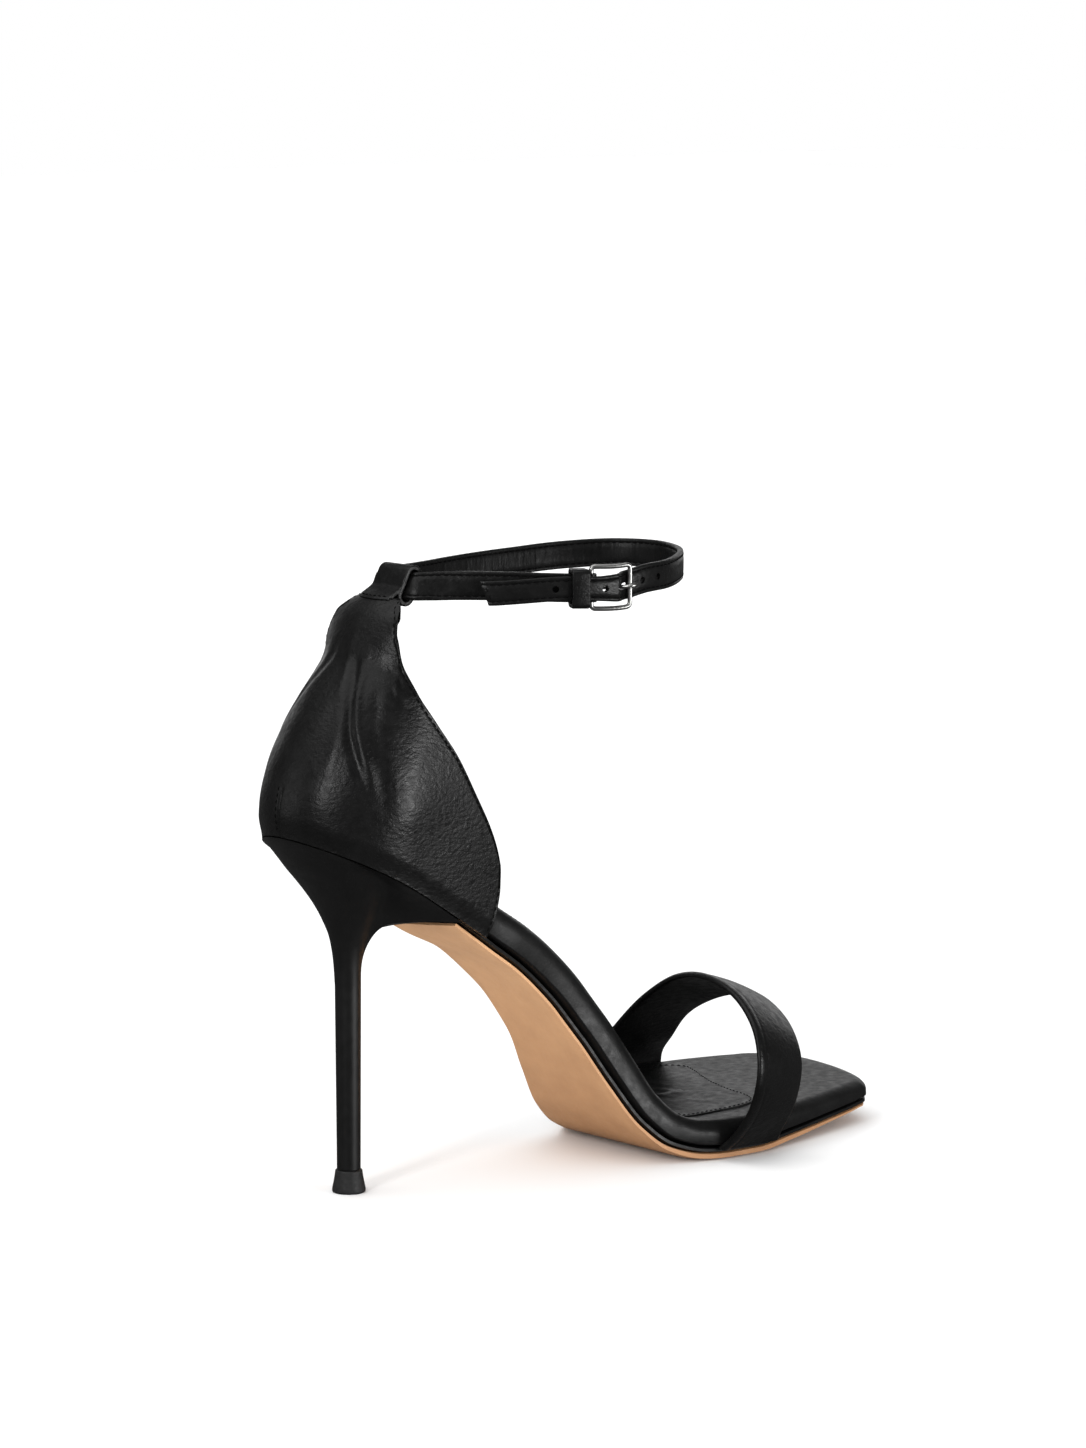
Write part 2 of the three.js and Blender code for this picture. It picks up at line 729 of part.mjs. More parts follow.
function addHeelTip() {
  const edgeTurn = tipEdge * (1 - Math.SQRT1_2);
  const profile = [
    new THREE.Vector2(0, 0),
    new THREE.Vector2(tipFootRadius - tipEdge, 0),
    new THREE.Vector2(tipFootRadius - edgeTurn, edgeTurn),
    new THREE.Vector2(tipFootRadius, tipEdge),
    new THREE.Vector2((tipFootRadius + tipTopRadius) / 2, tipHeight / 2),
    new THREE.Vector2(tipTopRadius, tipHeight),
    new THREE.Vector2(0, tipHeight),
  ];
  const geometry = new THREE.LatheGeometry(profile, 24);
  geometry.rotateX(Math.PI / 2);
  piece('heel_tip', geometry, blackRubber);
}

// Band over the forefoot: its two edges, across as shares of the footbed's half width there.
const bandTable = [
  { rearAcross: -1.00, rearUp: 0.010, rearIn: 0.14, frontAcross: -1.000, frontUp: 0.000, frontOut: 0.000 },
  { rearAcross: -1.08, rearUp: 0.080, rearIn: 0.20, frontAcross: -1.040, frontUp: 0.070, frontOut: 0.000 },
  { rearAcross: -1.28, rearUp: 0.290, rearIn: 0.22, frontAcross: -1.180, frontUp: 0.270, frontOut: 0.000 },
  { rearAcross: -1.37, rearUp: 0.540, rearIn: 0.18, frontAcross: -1.200, frontUp: 0.500, frontOut: 0.000 },
  { rearAcross: -1.25, rearUp: 0.765, rearIn: 0.15, frontAcross: -1.020, frontUp: 0.670, frontOut: 0.000 },
  { rearAcross: -0.94, rearUp: 0.935, rearIn: 0.12, frontAcross: -0.620, frontUp: 0.775, frontOut: 0.000 },
  { rearAcross: -0.52, rearUp: 1.010, rearIn: 0.05, frontAcross: -0.170, frontUp: 0.760, frontOut: 0.000 },
  { rearAcross: -0.10, rearUp: 0.960, rearIn: 0.02, frontAcross: 0.280, frontUp: 0.640, frontOut: 0.010 },
  { rearAcross: 0.32, rearUp: 0.765, rearIn: 0.00, frontAcross: 0.640, frontUp: 0.475, frontOut: 0.060 },
  { rearAcross: 0.68, rearUp: 0.505, rearIn: 0.00, frontAcross: 0.860, frontUp: 0.300, frontOut: 0.110 },
  { rearAcross: 0.96, rearUp: 0.260, rearIn: 0.00, frontAcross: 1.030, frontUp: 0.160, frontOut: 0.155 },
  { rearAcross: 1.02, rearUp: 0.090, rearIn: 0.00, frontAcross: 1.045, frontUp: 0.070, frontOut: 0.175 },
  { rearAcross: 1.02, rearUp: 0.010, rearIn: 0.00, frontAcross: 1.030, frontUp: 0.000, frontOut: 0.175 },
];

function bandEdgePoint(across, up, start) {
  const lean = Math.tan(bandLean * THREE.MathUtils.DEG2RAD);
  const skew = Math.tan(bandSkew * THREE.MathUtils.DEG2RAD);
  const side = across < 0 ? -1 : 1;
  const height = bandRise * up;
  let x = start;
  let y = 0;
  for (let pass = 0; pass < 6; pass += 1) {
    y = Math.abs(across) * (padEdge(x, side) + side * clearance);
    x = start + (y + ballWidth / 2) * skew + height * lean;
  }
  const floor = bottomHeight(x, y) + boardThickness + clearance;
  return vector(x, y, floor + height);
}

const bandCrown = 0.8;

function addBand() {
  const rear = new THREE.CatmullRomCurve3(bandTable.map((row) => (
    bandEdgePoint(row.rearAcross, row.rearUp, bandSet + bandWidth * row.rearIn))));
  const front = new THREE.CatmullRomCurve3(bandTable.map((row) => (
    bandEdgePoint(row.frontAcross, row.frontUp, bandSet + bandWidth * (1 + row.frontOut)))));
  const steps = 26;
  const across = 5;
  const grid = Array.from({ length: steps + 1 }, (unused, i) => {
    const a = rear.getPointAt(i / steps);
    const b = front.getPointAt(i / steps);
    return Array.from({ length: across + 1 }, (empty, j) => a.clone().lerp(b, j / across));
  });
  const normalAt = (i, j) => {
    const along = grid[Math.min(steps, i + 1)][j].clone().sub(grid[Math.max(0, i - 1)][j]);
    const over = grid[i][Math.min(across, j + 1)].clone().sub(grid[i][Math.max(0, j - 1)]);
    return over.cross(along).normalize();
  };
  const rings = grid.map((line, i) => {
    const skin = (offset) => line.map((p, j) => {
      const arch = bandCrown * Math.sin((Math.PI * i) / steps) * Math.sin((Math.PI * j) / across);
      return p.clone().addScaledVector(normalAt(i, j), offset + arch);
    });
    return [...skin(upperWall), ...skin(0).reverse()];
  });
  piece('vamp_band', loft(rings), black);
}

// Ankle strap: its route from above, as shares of the loop's length and width from the tab,
// and its lift as a share of the strap's width.
const strapRoute = [
  { forward: 0.000, side: 0.000, lift: 0 },
  { forward: 0.000, side: -0.085, lift: 0 },
  { forward: 0.000, side: -0.130, lift: 0 },
  { forward: 0.030, side: -0.172, lift: 0 },
  { forward: 0.075, side: -0.222, lift: 0 },
  { forward: 0.135, side: -0.300, lift: -0.01 },
  { forward: 0.215, side: -0.405, lift: -0.05 },
  { forward: 0.305, side: -0.505, lift: -0.125 },
  { forward: 0.410, side: -0.600, lift: -0.20 },
  { forward: 0.515, side: -0.645, lift: -0.23 },
  { forward: 0.620, side: -0.645, lift: -0.07 },
  { forward: 0.725, side: -0.600, lift: -0.06 },
  { forward: 0.825, side: -0.500, lift: -0.03 },
  { forward: 0.910, side: -0.370, lift: 0 },
  { forward: 0.970, side: -0.210, lift: 0 },
  { forward: 1.000, side: -0.040, lift: 0 },
  { forward: 0.982, side: 0.105, lift: 0 },
  { forward: 0.928, side: 0.215, lift: 0 },
  { forward: 0.848, side: 0.292, lift: -0.02 },
  { forward: 0.760, side: 0.340, lift: -0.05 },
  { forward: 0.630, side: 0.350, lift: -0.08 },
  { forward: 0.490, side: 0.345, lift: -0.10 },
  { forward: 0.360, side: 0.320, lift: -0.12 },
  { forward: 0.240, side: 0.270, lift: -0.12 },
  { forward: 0.130, side: 0.215, lift: -0.08 },
  { forward: 0.065, side: 0.186, lift: -0.03 },
  { forward: 0.025, side: 0.163, lift: 0 },
  { forward: 0.000, side: 0.130, lift: 0 },
  { forward: 0.000, side: 0.085, lift: 0 },
];
const strapLoop = new THREE.CatmullRomCurve3(strapRoute.map((row) => {
  const forward = ankleLength * row.forward;
  const height = loopCentre + strapWidth * row.lift + strapPitch * forward;
  return vector(loopTabSet + forward, ankleWidth * row.side, height);
}), true);
strapLoop.arcLengthDivisions = 800;
const loopGirth = strapLoop.getLength();

// A place on the strap, by its distance past the buckle's hinge bar, away from the tab.
// The level runs outward from the strap's own middle, the height up from it.
function strapPlace(distance, level, height) {
  const share = THREE.MathUtils.euclideanModulo((buckleSet + distance) / loopGirth, 1);
  const base = strapLoop.getPointAt(share);
  const tangent = strapLoop.getTangentAt(share);
  const out = vector(tangent.y, -tangent.x, 0).normalize();
  const inTab = 1 - ease((base.x - loopTabSet) / loopTabWidth);
  const lean = inTab * loopTabLean * THREE.MathUtils.DEG2RAD;
  const up = vector(-out.x * Math.sin(lean), -out.y * Math.sin(lean), Math.cos(lean));
  const face = vector(out.x * Math.cos(lean), out.y * Math.cos(lean), Math.sin(lean));
  return base.addScaledVector(face, level).addScaledVector(up, height);
}

const strapHalf = strapThickness / 2;
const freeLevel = strapThickness + overlapGap;
const hingeLevel = -0.6;
const hingeClear = buckleWire / 2 + clearance;
const barrelWall = 0.6;
const barrelRadius = hingeClear + barrelWall;
const barLength = buckleLength - buckleWire;
const tipBarLevel = strapHalf + clearance + buckleWire / 2;
const rampStart = 6.4;
const rampEnd = barLength - buckleWire / 2 - clearance;
const keeperEnd = -barrelRadius - clearance;
const keeperStart = keeperEnd - keeperLength;

// Level of the strap that comes from the front, dives under the tip bar and ends as the free tail.
function tailLevel(distance) {
  return freeLevel * (1 - ease((distance - rampStart) / (rampEnd - rampStart)));
}

// The tail narrows once it is past the tip bar.
function strapHalfWidth(distance) {
  return mix(strapWidth, tailWidth, ease((rampEnd - distance) / rampEnd)) / 2;
}

// The free tail hangs lower than the strap under it, most at its tip.
function tailFall(distance) {
  return -tailDrop * ease((keeperStart - distance) / (tailLength + keeperStart));
}

// Where the strap's flat faces and flat edges end, as shares of its half width and half thickness
const faceShare = 0.92;
const rimShare = 0.35;

function strapRing(distance, slant) {
  const level = tailLevel(distance);
  const fall = tailFall(distance);
  const halfWidth = strapHalfWidth(distance);
  const corners = [[1, -faceShare], [1, faceShare], [rimShare, 1], [-rimShare, 1],
    [-1, faceShare], [-1, -faceShare], [-rimShare, -1], [rimShare, -1]];
  return corners.map(([out, up]) => (
    strapPlace(distance + slant * up, level + out * strapHalf, fall + up * halfWidth)));
}

// A straight body through an outline of pairs, from one end to the other.
function prism(pairs, from, to, at) {
  return toSolid(loft([from, to].map((end) => pairs.map(([a, b]) => at(a, b, end)))));
}

function roundPairs(radiusA, radiusB, count) {
  return Array.from({ length: count }, (unused, k) => {
    const angle = (2 * Math.PI * (k + 0.5)) / count;
    return [radiusA * Math.cos(angle), radiusB * Math.sin(angle)];
  });
}

function aroundHinge(a, b, height) {
  return strapPlace(a, hingeLevel + b, height);
}

const knuckleHalf = 0.9;
const slotHalf = 2.5;
const slotLead = 0.5;
const slotSet = holeSet + holePitch - slotLead;
const holeNumbers = [-2, -1, 0, 2, 3];

function addAnkleStrap() {
  const end = loopGirth - hingeClear;
  const runs = [
    { from: -tailLength, to: rampStart, count: 11 },
    { from: rampStart, to: rampEnd, count: 5 },
    { from: rampEnd, to: end, count: 54 },
  ];
  const distances = runs.flatMap(({ from, to, count }) => (
    Array.from({ length: count }, (unused, i) => mix(from, to, i / count))));
  const slantAt = (distance) => (distance === -tailLength ? -tipSlant : 0);
  const rings = [...distances, end].map((distance) => strapRing(distance, slantAt(distance)));
  const roundBar = (radius, half) => prism(roundPairs(radius, radius, 12), -half, half, aroundHinge);
  const barrel = roundBar(barrelRadius, strapWidth / 2);
  const bar = roundBar(hingeClear, strapWidth);
  const notchSide = barrelRadius + clearance;
  const notchTop = barrelRadius + clearance / 2;
  const notchHalf = knuckleHalf + clearance;
  const notchPairs = [[-notchSide, -notchSide], [notchSide, -notchSide],
    [notchSide, notchTop], [-notchSide, notchTop]];
  const notch = prism(notchPairs, -notchHalf, notchHalf, aroundHinge);
  const punch = (centre, halfLength, low, high) => prism(roundPairs(halfLength, holeRadius, 10), low, high,
    (a, b, level) => strapPlace(centre + a, level, tailFall(centre) + b));
  const depth = strapHalf + clearance;
  const holes = holeNumbers.map((number) => {
    const centre = holeSet + number * holePitch;
    return punch(centre, holeRadius, tailLevel(centre) - depth, tailLevel(centre) + depth);
  });
  const slot = punch(slotSet, slotHalf, -depth, freeLevel + depth);
  const strap = toSolid(loft(rings)).add(barrel).subtract(bar).subtract(notch);
  const pierced = [...holes, slot].reduce((body, hole) => body.subtract(hole), strap);
  piece('ankle_strap', toGeometry(pierced), black);
}

// Keeper: a leather sleeve round the strap and its free tail
function addKeeper() {
  const round = clearance;
  const low = -strapHalf - clearance;
  const high = freeLevel + strapHalf + clearance;
  const half = strapWidth / 2 + clearance;
  const corners = [
    { level: high - round, height: half - round, turn: 0 },
    { level: low + round, height: half - round, turn: 90 },
    { level: low + round, height: round - half, turn: 180 },
    { level: high - round, height: round - half, turn: 270 },
  ];
  const rings = corners.flatMap((corner) => [0, 30, 60, 90].map((step) => {
    const angle = (corner.turn + step) * THREE.MathUtils.DEG2RAD;
    const at = (distance, radius) => strapPlace(distance,
      corner.level + radius * Math.cos(angle), corner.height + radius * Math.sin(angle));
    const outer = round + keeperWall;
    return [at(keeperStart, outer), at(keeperEnd, outer), at(keeperEnd, round), at(keeperStart, round)];
  }));
  piece('strap_keeper', loft(rings, true), black);
}

// A round wire along a line of points; its section starts from a direction that lies along no part of it
const wireSeed = vector(0.13, 0.31, 0.94);

function wire(points, radius, sides, closed) {
  const last = points.length - 1;
  const around = (i) => (closed ? (i + points.length) % points.length : Math.min(last, Math.max(0, i)));
  let normal = wireSeed;
  const rings = points.map((p, i) => {
    const tangent = points[around(i + 1)].clone().sub(points[around(i - 1)]).normalize();
    normal = normal.clone().addScaledVector(tangent, -normal.dot(tangent)).normalize();
    const other = tangent.clone().cross(normal);
    return roundPairs(radius, radius, sides).map(([a, b]) => (
      p.clone().addScaledVector(normal, a).addScaledVector(other, b)));
  });
  return loft(rings, closed);
}

const frameRound = 1.1;

function addBuckleFrame() {
  const half = (buckleHeight - buckleWire) / 2;
  const round = frameRound;
  const levelAt = (distance) => mix(hingeLevel, tipBarLevel, distance / barLength);
  const at = (distance, height) => strapPlace(distance, levelAt(distance), height);
  const corners = [
    { distance: round, height: round - half, turn: 180 },
    { distance: barLength - round, height: round - half, turn: 270 },
    { distance: barLength - round, height: half - round, turn: 0 },
    { distance: round, height: half - round, turn: 90 },
  ];
  const points = corners.flatMap((corner) => [0, 30, 60, 90].map((step) => {
    const angle = (corner.turn + step) * THREE.MathUtils.DEG2RAD;
    return at(corner.distance + round * Math.cos(angle), corner.height + round * Math.sin(angle));
  }));
  piece('buckle_frame', wire(points, buckleWire / 2, 8, true), silver);
}

// Prong: a knuckle round the hinge bar and a pin that rises through the strap onto the tip bar.
// Each row of its path: how far past the place named, and how far up from the strap's back to the rest level.
const prongRoute = [
  { from: hingeClear, past: 0.3, up: null },
  { from: slotSet, past: -slotHalf + 0.3, up: 0 },
  { from: slotSet, past: -1.0, up: 0.2 },
  { from: slotSet, past: 0.1, up: 0.6 },
  { from: barLength, past: -1.1, up: 0.85 },
  { from: barLength, past: -0.4, up: 1 },
  { from: barLength, past: 0.9, up: 1 },
];

function addProng() {
  const radius = prongWire / 2;
  const restLevel = tipBarLevel + buckleWire / 2 + clearance + radius;
  const under = freeLevel - strapHalf - clearance - radius;
  const path = prongRoute.map(({ from, past, up }) => (
    { distance: from + past, level: up === null ? hingeLevel : mix(under, restLevel, up) }));
  const pin = toSolid(wire(path.map((row) => strapPlace(row.distance, row.level, 0)), radius, 8, false));
  const knuckle = toSolid(loft(roundPairs(1, 1, 12).map(([a, b]) => {
    const at = (r, height) => aroundHinge(a * r, b * r, height);
    return [at(barrelRadius, -knuckleHalf), at(barrelRadius, knuckleHalf),
      at(hingeClear, knuckleHalf), at(hingeClear, -knuckleHalf)];
  }), true));
  piece('buckle_prong', toGeometry(knuckle.add(pin)), silver);
}

addOutsole();
addBoard();
addFootbed();
addHeel();
addHeelTip();
addCounter();
addBand();
addAnkleStrap();
addKeeper();
addBuckleFrame();
addProng();

export default shoe;
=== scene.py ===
"""Strappy heeled sandal, the right shoe: its fine surfaces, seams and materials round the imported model.

Lengths are in millimetres until a mesh is made. X runs forward to the toe, Y to the medial side, Z up.
"""

import math

import bpy
import numpy as np
from mathutils import Matrix, Vector


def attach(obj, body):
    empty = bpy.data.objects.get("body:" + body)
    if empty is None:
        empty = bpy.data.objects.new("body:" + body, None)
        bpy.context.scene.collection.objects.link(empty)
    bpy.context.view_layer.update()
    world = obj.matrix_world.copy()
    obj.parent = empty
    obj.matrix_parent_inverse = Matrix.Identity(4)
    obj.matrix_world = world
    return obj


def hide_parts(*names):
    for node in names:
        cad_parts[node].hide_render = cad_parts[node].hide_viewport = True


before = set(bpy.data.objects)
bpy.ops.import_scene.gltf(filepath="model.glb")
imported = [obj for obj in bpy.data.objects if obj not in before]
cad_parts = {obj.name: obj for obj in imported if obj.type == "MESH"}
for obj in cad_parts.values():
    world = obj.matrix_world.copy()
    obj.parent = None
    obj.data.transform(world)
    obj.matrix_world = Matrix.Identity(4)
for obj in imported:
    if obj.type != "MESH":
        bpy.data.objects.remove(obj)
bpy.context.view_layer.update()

MM = 0.001
CAMERA_PLACE = (-0.9458, -1.2135, 0.3510)
CAMERA_AIM = (0.6365, 0.7586, -0.1392)
CAMERA_LENS = 136.74

# Driving sizes, the same as the model's
FOOT_LENGTH = 213.5
HEEL_SET = 23.8
HEEL_HEIGHT = 105
BALL_WIDTH = 80
SEAT_WIDTH = 50
TOE_SPRING = 3.8
TOE_DEPTH = 13
TOE_ROUND = 1.7
TOE_POINT = 12
CLEARANCE = 0.3
LAYER_GAP = 0.4
OUTSOLE_BALL = 2.1
OUTSOLE_WAIST = 1.4
OUTSOLE_TOE = 1.0
OUTSOLE_INSET = 0.6
BOARD_THICKNESS = 1.3
PAD_WAIST = 9.5
PAD_BALL = 7.4
PAD_TOE = 4.9
PAD_BULGE = 2.6
PAD_ROUND = 4
PIN_TOP_RADIUS = 3.75
PIN_FOOT_RADIUS = 3.4
PIN_TOP_HEIGHT = 60
TIP_HEIGHT = 6.5
TIP_TOP_RADIUS = 3.9
TIP_FOOT_RADIUS = 4.85
TIP_EDGE = 0.5
BREAST_SET = 26.7
BREAST_SKEW = 0.22
UPPER_WALL = 1.8
COUNTER_HEIGHT = 65
COUNTER_BULGE = 1.0
BULGE_RISE = 7
LOOP_WIDTH = 13.2
LOOP_WALL = 1.4
LOOP_LEAN = math.radians(27)
LOOP_SET = 18
BAND_WIDTH = 26
BAND_RISE = 45.5
BAND_SET = 103
BAND_SKEW = math.radians(15)
BAND_LEAN = math.radians(10)
STRAP_WIDTH = 8.2
STRAP_THICKNESS = 1.8
STRAP_TOP = 177.4
STRAP_PITCH = 0.02
ANKLE_LENGTH = 96.5
ANKLE_WIDTH = 60
OVERLAP_GAP = 0.5
BUCKLE_LENGTH = 12.5
BUCKLE_HEIGHT = 13.4
BUCKLE_WIRE = 1.4
BUCKLE_SET = 58.8
PRONG_WIRE = 1.1
HOLE_SET = 2.8
HOLE_PITCH = 6.9
HOLE_RADIUS = 0.95
TAIL_LENGTH = 30.8
TAIL_WIDTH = 7.0
TAIL_DROP = 1.9
TIP_SLANT = 1.4
KEEPER_LENGTH = 4.7
KEEPER_WALL = 1.2


# Small helpers

def mix(a, b, share):
    return a + (b - a) * share


def ease(value):
    t = np.clip(value, 0, 1)
    return t * t * (3 - 2 * t)


def table(names, rows):
    return dict(zip(names.split(), np.array(rows, float).T))


def column(rows, key, value):
    """A smooth curve through one column of a table, with no overshoot between its rows."""
    x, y = rows[key], rows[value]
    slopes = np.diff(y) / np.diff(x)
    before = np.concatenate([slopes[:1], slopes])
    after = np.concatenate([slopes, slopes[-1:]])
    same_way = before * after > 0
    tangents = np.where(same_way, 2 * before * after / np.where(same_way, before + after, 1), 0)

    def at(place):
        v = np.clip(np.asarray(place, float), x[0], x[-1])
        i = np.clip(np.searchsorted(x, v, side="left") - 1, 0, len(x) - 2)
        run = x[i + 1] - x[i]
        t = (v - x[i]) / run
        start = (1 + 2 * t) * (1 - t) ** 2 * y[i] + t * (1 - t) ** 2 * run * tangents[i]
        end = t * t * (3 - 2 * t) * y[i + 1] - t * t * (1 - t) * run * tangents[i + 1]
        return start + end

    return at


def lengths_along(points):
    return np.concatenate([[0], np.cumsum(np.linalg.norm(np.diff(points, axis=0), axis=1))])


def at_lengths(points, lengths):
    own = lengths_along(points)
    return np.stack([np.interp(lengths, own, points[:, k]) for k in range(points.shape[1])], axis=1)


def evenly(points, count):
    return at_lengths(points, np.linspace(0, lengths_along(points)[-1], count))


def spline(points, closed=False, samples=60):
    """Fine points of a centripetal Catmull-Rom curve."""
    points = np.asarray(points, float)
    count = len(points)
    fine = []
    for i in range(count if closed else count - 1):
        if closed:
            p0, p1, p2, p3 = (points[(i + k) % count] for k in (-1, 0, 1, 2))
        else:
            p1, p2 = points[i], points[i + 1]
            p0 = points[i - 1] if i > 0 else 2 * p1 - p2
            p3 = points[i + 2] if i + 2 < count else 2 * p2 - p1
        d0, d1, d2 = (math.sqrt(np.linalg.norm(b - a)) for a, b in ((p0, p1), (p1, p2), (p2, p3)))
        m1 = d1 * ((p1 - p0) / d0 - (p2 - p0) / (d0 + d1) + (p2 - p1) / d1)
        m2 = d1 * ((p2 - p1) / d1 - (p3 - p1) / (d1 + d2) + (p3 - p2) / d2)
        t = np.linspace(0, 1, samples, endpoint=False)[:, None]
        fine.append(p1 + m1 * t + (3 * (p2 - p1) - 2 * m1 - m2) * t**2 + (2 * (p1 - p2) + m1 + m2) * t**3)
    fine.append(points[:1] if closed else points[-1:])
    return np.concatenate(fine)


def unit(vectors):
    return vectors / np.linalg.norm(vectors, axis=-1, keepdims=True)


def mesh_piece(name, points, faces, material, node=None, slot=None, sharp=50):
    """A shown piece of the shoe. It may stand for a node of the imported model."""
    mesh = bpy.data.meshes.new(name)
    mesh.from_pydata((np.asarray(points) * MM).tolist(), [], faces)
    mesh.update()
    mesh.shade_smooth()
    mesh.set_sharp_from_angle(angle=math.radians(sharp))
    piece = bpy.data.objects.new(name, mesh)
    bpy.context.scene.collection.objects.link(piece)
    mesh.materials.append(material)
    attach(piece, "root")
    if node:
        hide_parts(node)
    return piece


def paint(piece, material, ring_size, spots):
    """Give another material to the faces at these places round each ring of a lofted piece."""
    piece.data.materials.append(material)
    slots = np.zeros(len(piece.data.polygons), np.int32)
    body = np.arange(len(slots)) % ring_size
    slots[np.isin(body, spots)] = 1
    piece.data.polygons.foreach_set("material_index", slots)


def ring_faces(rings, count, closed=False, start=0):
    """Faces through rings of points, with caps of strips at the ends of an open run."""
    faces = []
    for r in range(rings if closed else rings - 1):
        near = start + r * count
        far = start + ((r + 1) % rings) * count
        faces += [(near + i, near + (i + 1) % count, far + (i + 1) % count, far + i) for i in range(count)]
    if not closed:
        last = start + (rings - 1) * count
        for i in range(count // 2 - 1):
            other = count - 1 - i
            faces.append((start + i, start + other, start + other - 1, start + i + 1))
            faces.append((last + i, last + i + 1, last + other - 1, last + other))
    return faces


def facing_out(points, faces):
    """The faces, turned outward."""
    p = np.asarray(points)
    volume = 0.0
    for face in faces:
        a, b, c = p[face[0]], p[face[1]], p[face[2]]
        volume += float(np.dot(a, np.cross(b, c)))
        if len(face) == 4:
            volume += float(np.dot(a, np.cross(c, p[face[3]])))
    return faces if volume > 0 else [tuple(reversed(face)) for face in faces]


def lofted(name, rings, material, closed=False, **facts):
    rings = np.asarray(rings)
    points = rings.reshape(-1, 3)
    faces = facing_out(points, ring_faces(len(rings), rings.shape[1], closed))
    return mesh_piece(name, points, faces, material, **facts)


# The last's underside and the board's outline, as in the model
SOLE_BACK = -HEEL_SET
TOE_FRONT = SOLE_BACK + FOOT_LENGTH
BALL_LIFT = OUTSOLE_BALL + LAYER_GAP
ARCH_PIVOT = 0.25
BOTTOM_LINE = table("along rise spring cant", [
    (0.000, 1.000, 0, 0),
    (0.118, 0.872, 0, 0),
    (0.211, 0.751, 0, 0),
    (0.281, 0.653, 0, 0.02),
    (0.337, 0.572, 0, 0.065),
    (0.388, 0.472, 0, 0.05),
    (0.430, 0.355, 0, 0.02),
    (0.472, 0.217, 0, 0),
    (0.510, 0.100, 0, 0),
    (0.552, 0.030, 0, 0),
    (0.598, 0.003, 0, 0),
    (0.622, 0.000, 0, 0),
    (0.680, 0.000, 0, 0),
    (0.762, 0.000, 0.28, 0),
    (0.911, 0.000, 0.78, 0),
    (1.000, 0.000, 1, 0),
])
rise_at = column(BOTTOM_LINE, "along", "rise")
spring_at = column(BOTTOM_LINE, "along", "spring")
cant_at = column(BOTTOM_LINE, "along", "cant")


def along_at(x):
    return (x - SOLE_BACK) / FOOT_LENGTH


def bottom_height(x, y=0):
    along = along_at(x)
    drop = (HEEL_HEIGHT - BALL_LIFT) * rise_at(along)
    return BALL_LIFT + drop + TOE_SPRING * spring_at(along) + cant_at(along) * (y + ARCH_PIVOT * BALL_WIDTH)


def off_bottom(x, y, lift):
    step = 0.5
    slope = (bottom_height(x + step, y) - bottom_height(x - step, y)) / (2 * step)
    length = np.hypot(1, slope)
    return np.stack([x - slope / length * lift, y + 0 * x, bottom_height(x, y) + lift / length], axis=-1)


OUTLINE = table("along lateral medial", [
    (0.127, 0.286, 0.286),
    (0.211, 0.282, 0.275),
    (0.262, 0.269, 0.256),
    (0.318, 0.254, 0.219),
    (0.360, 0.248, 0.198),
    (0.402, 0.259, 0.158),
    (0.435, 0.288, 0.145),
    (0.472, 0.325, 0.182),
    (0.510, 0.375, 0.225),
    (0.552, 0.416, 0.260),
    (0.594, 0.454, 0.350),
    (0.640, 0.482, 0.455),
    (0.692, 0.485, 0.516),
    (0.762, 0.452, 0.528),
    (0.837, 0.404, 0.506),
    (0.911, 0.350, 0.441),
    (0.939, 0.322, 0.406),
])
side_at = {-1: column(OUTLINE, "along", "lateral"), 1: column(OUTLINE, "along", "medial")}
BOARD_BACK = SOLE_BACK + UPPER_WALL + CLEARANCE
BOARD_SEAT_END = SOLE_BACK + 0.54 * SEAT_WIDTH
BOARD_TOE = TOE_FRONT - TOE_DEPTH


def board_edge(x, side, grow=0.0):
    """Distance from the centre line to the board's edge; side is +1 medial or -1 lateral."""
    x = np.asarray(x, float)
    seat_share = np.clip((BOARD_SEAT_END - x) / (BOARD_SEAT_END - BOARD_BACK + grow), 0, 1)
    seat_half = BALL_WIDTH * side_at[side](along_at(BOARD_SEAT_END)) + grow
    seat = side * seat_half * np.sqrt(1 - seat_share**2)
    toe_share = np.clip((x - BOARD_TOE) / (TOE_DEPTH + grow), 0, 1)
    corner = BALL_WIDTH * side_at[side](along_at(BOARD_TOE)) + grow
    toe = TOE_POINT + (side * corner - TOE_POINT) * (1 - toe_share**TOE_ROUND) ** (1 / TOE_ROUND)
    middle = side * (BALL_WIDTH * side_at[side](along_at(x)) + grow)
    return np.where(x < BOARD_SEAT_END, seat, np.where(x > BOARD_TOE, toe, middle))


def stations(back, count, grow):
    """Places along the sole, close together round its two ends."""
    angles = np.radians(np.linspace(3, 90, 18))
    seat = BOARD_SEAT_END - (BOARD_SEAT_END - BOARD_BACK + grow) * np.cos(angles[:-1])
    start = max(back, BOARD_SEAT_END)
    line = np.linspace(start, BOARD_TOE, 400)
    profile = np.stack([line, bottom_height(line)], axis=1)
    middle = evenly(profile, count)[:, 0]
    toe = BOARD_TOE + (TOE_DEPTH + grow) * np.sin(angles[:-1])
    return np.concatenate([seat if back < BOARD_SEAT_END else [], middle, toe])


def edge_distance(border, x, y):
    a = border
    b = np.roll(border, -1, axis=0)
    run = np.maximum(((b - a) ** 2).sum(1), 1e-9)
    px, py = x[:, None] - a[None, :, 0], y[:, None] - a[None, :, 1]
    t = np.clip((px * (b - a)[:, 0] + py * (b - a)[:, 1]) / run, 0, 1)
    return np.hypot(px - t * (b - a)[:, 0], py - t * (b - a)[:, 1]).min(1)


SKEW_RUN = 28


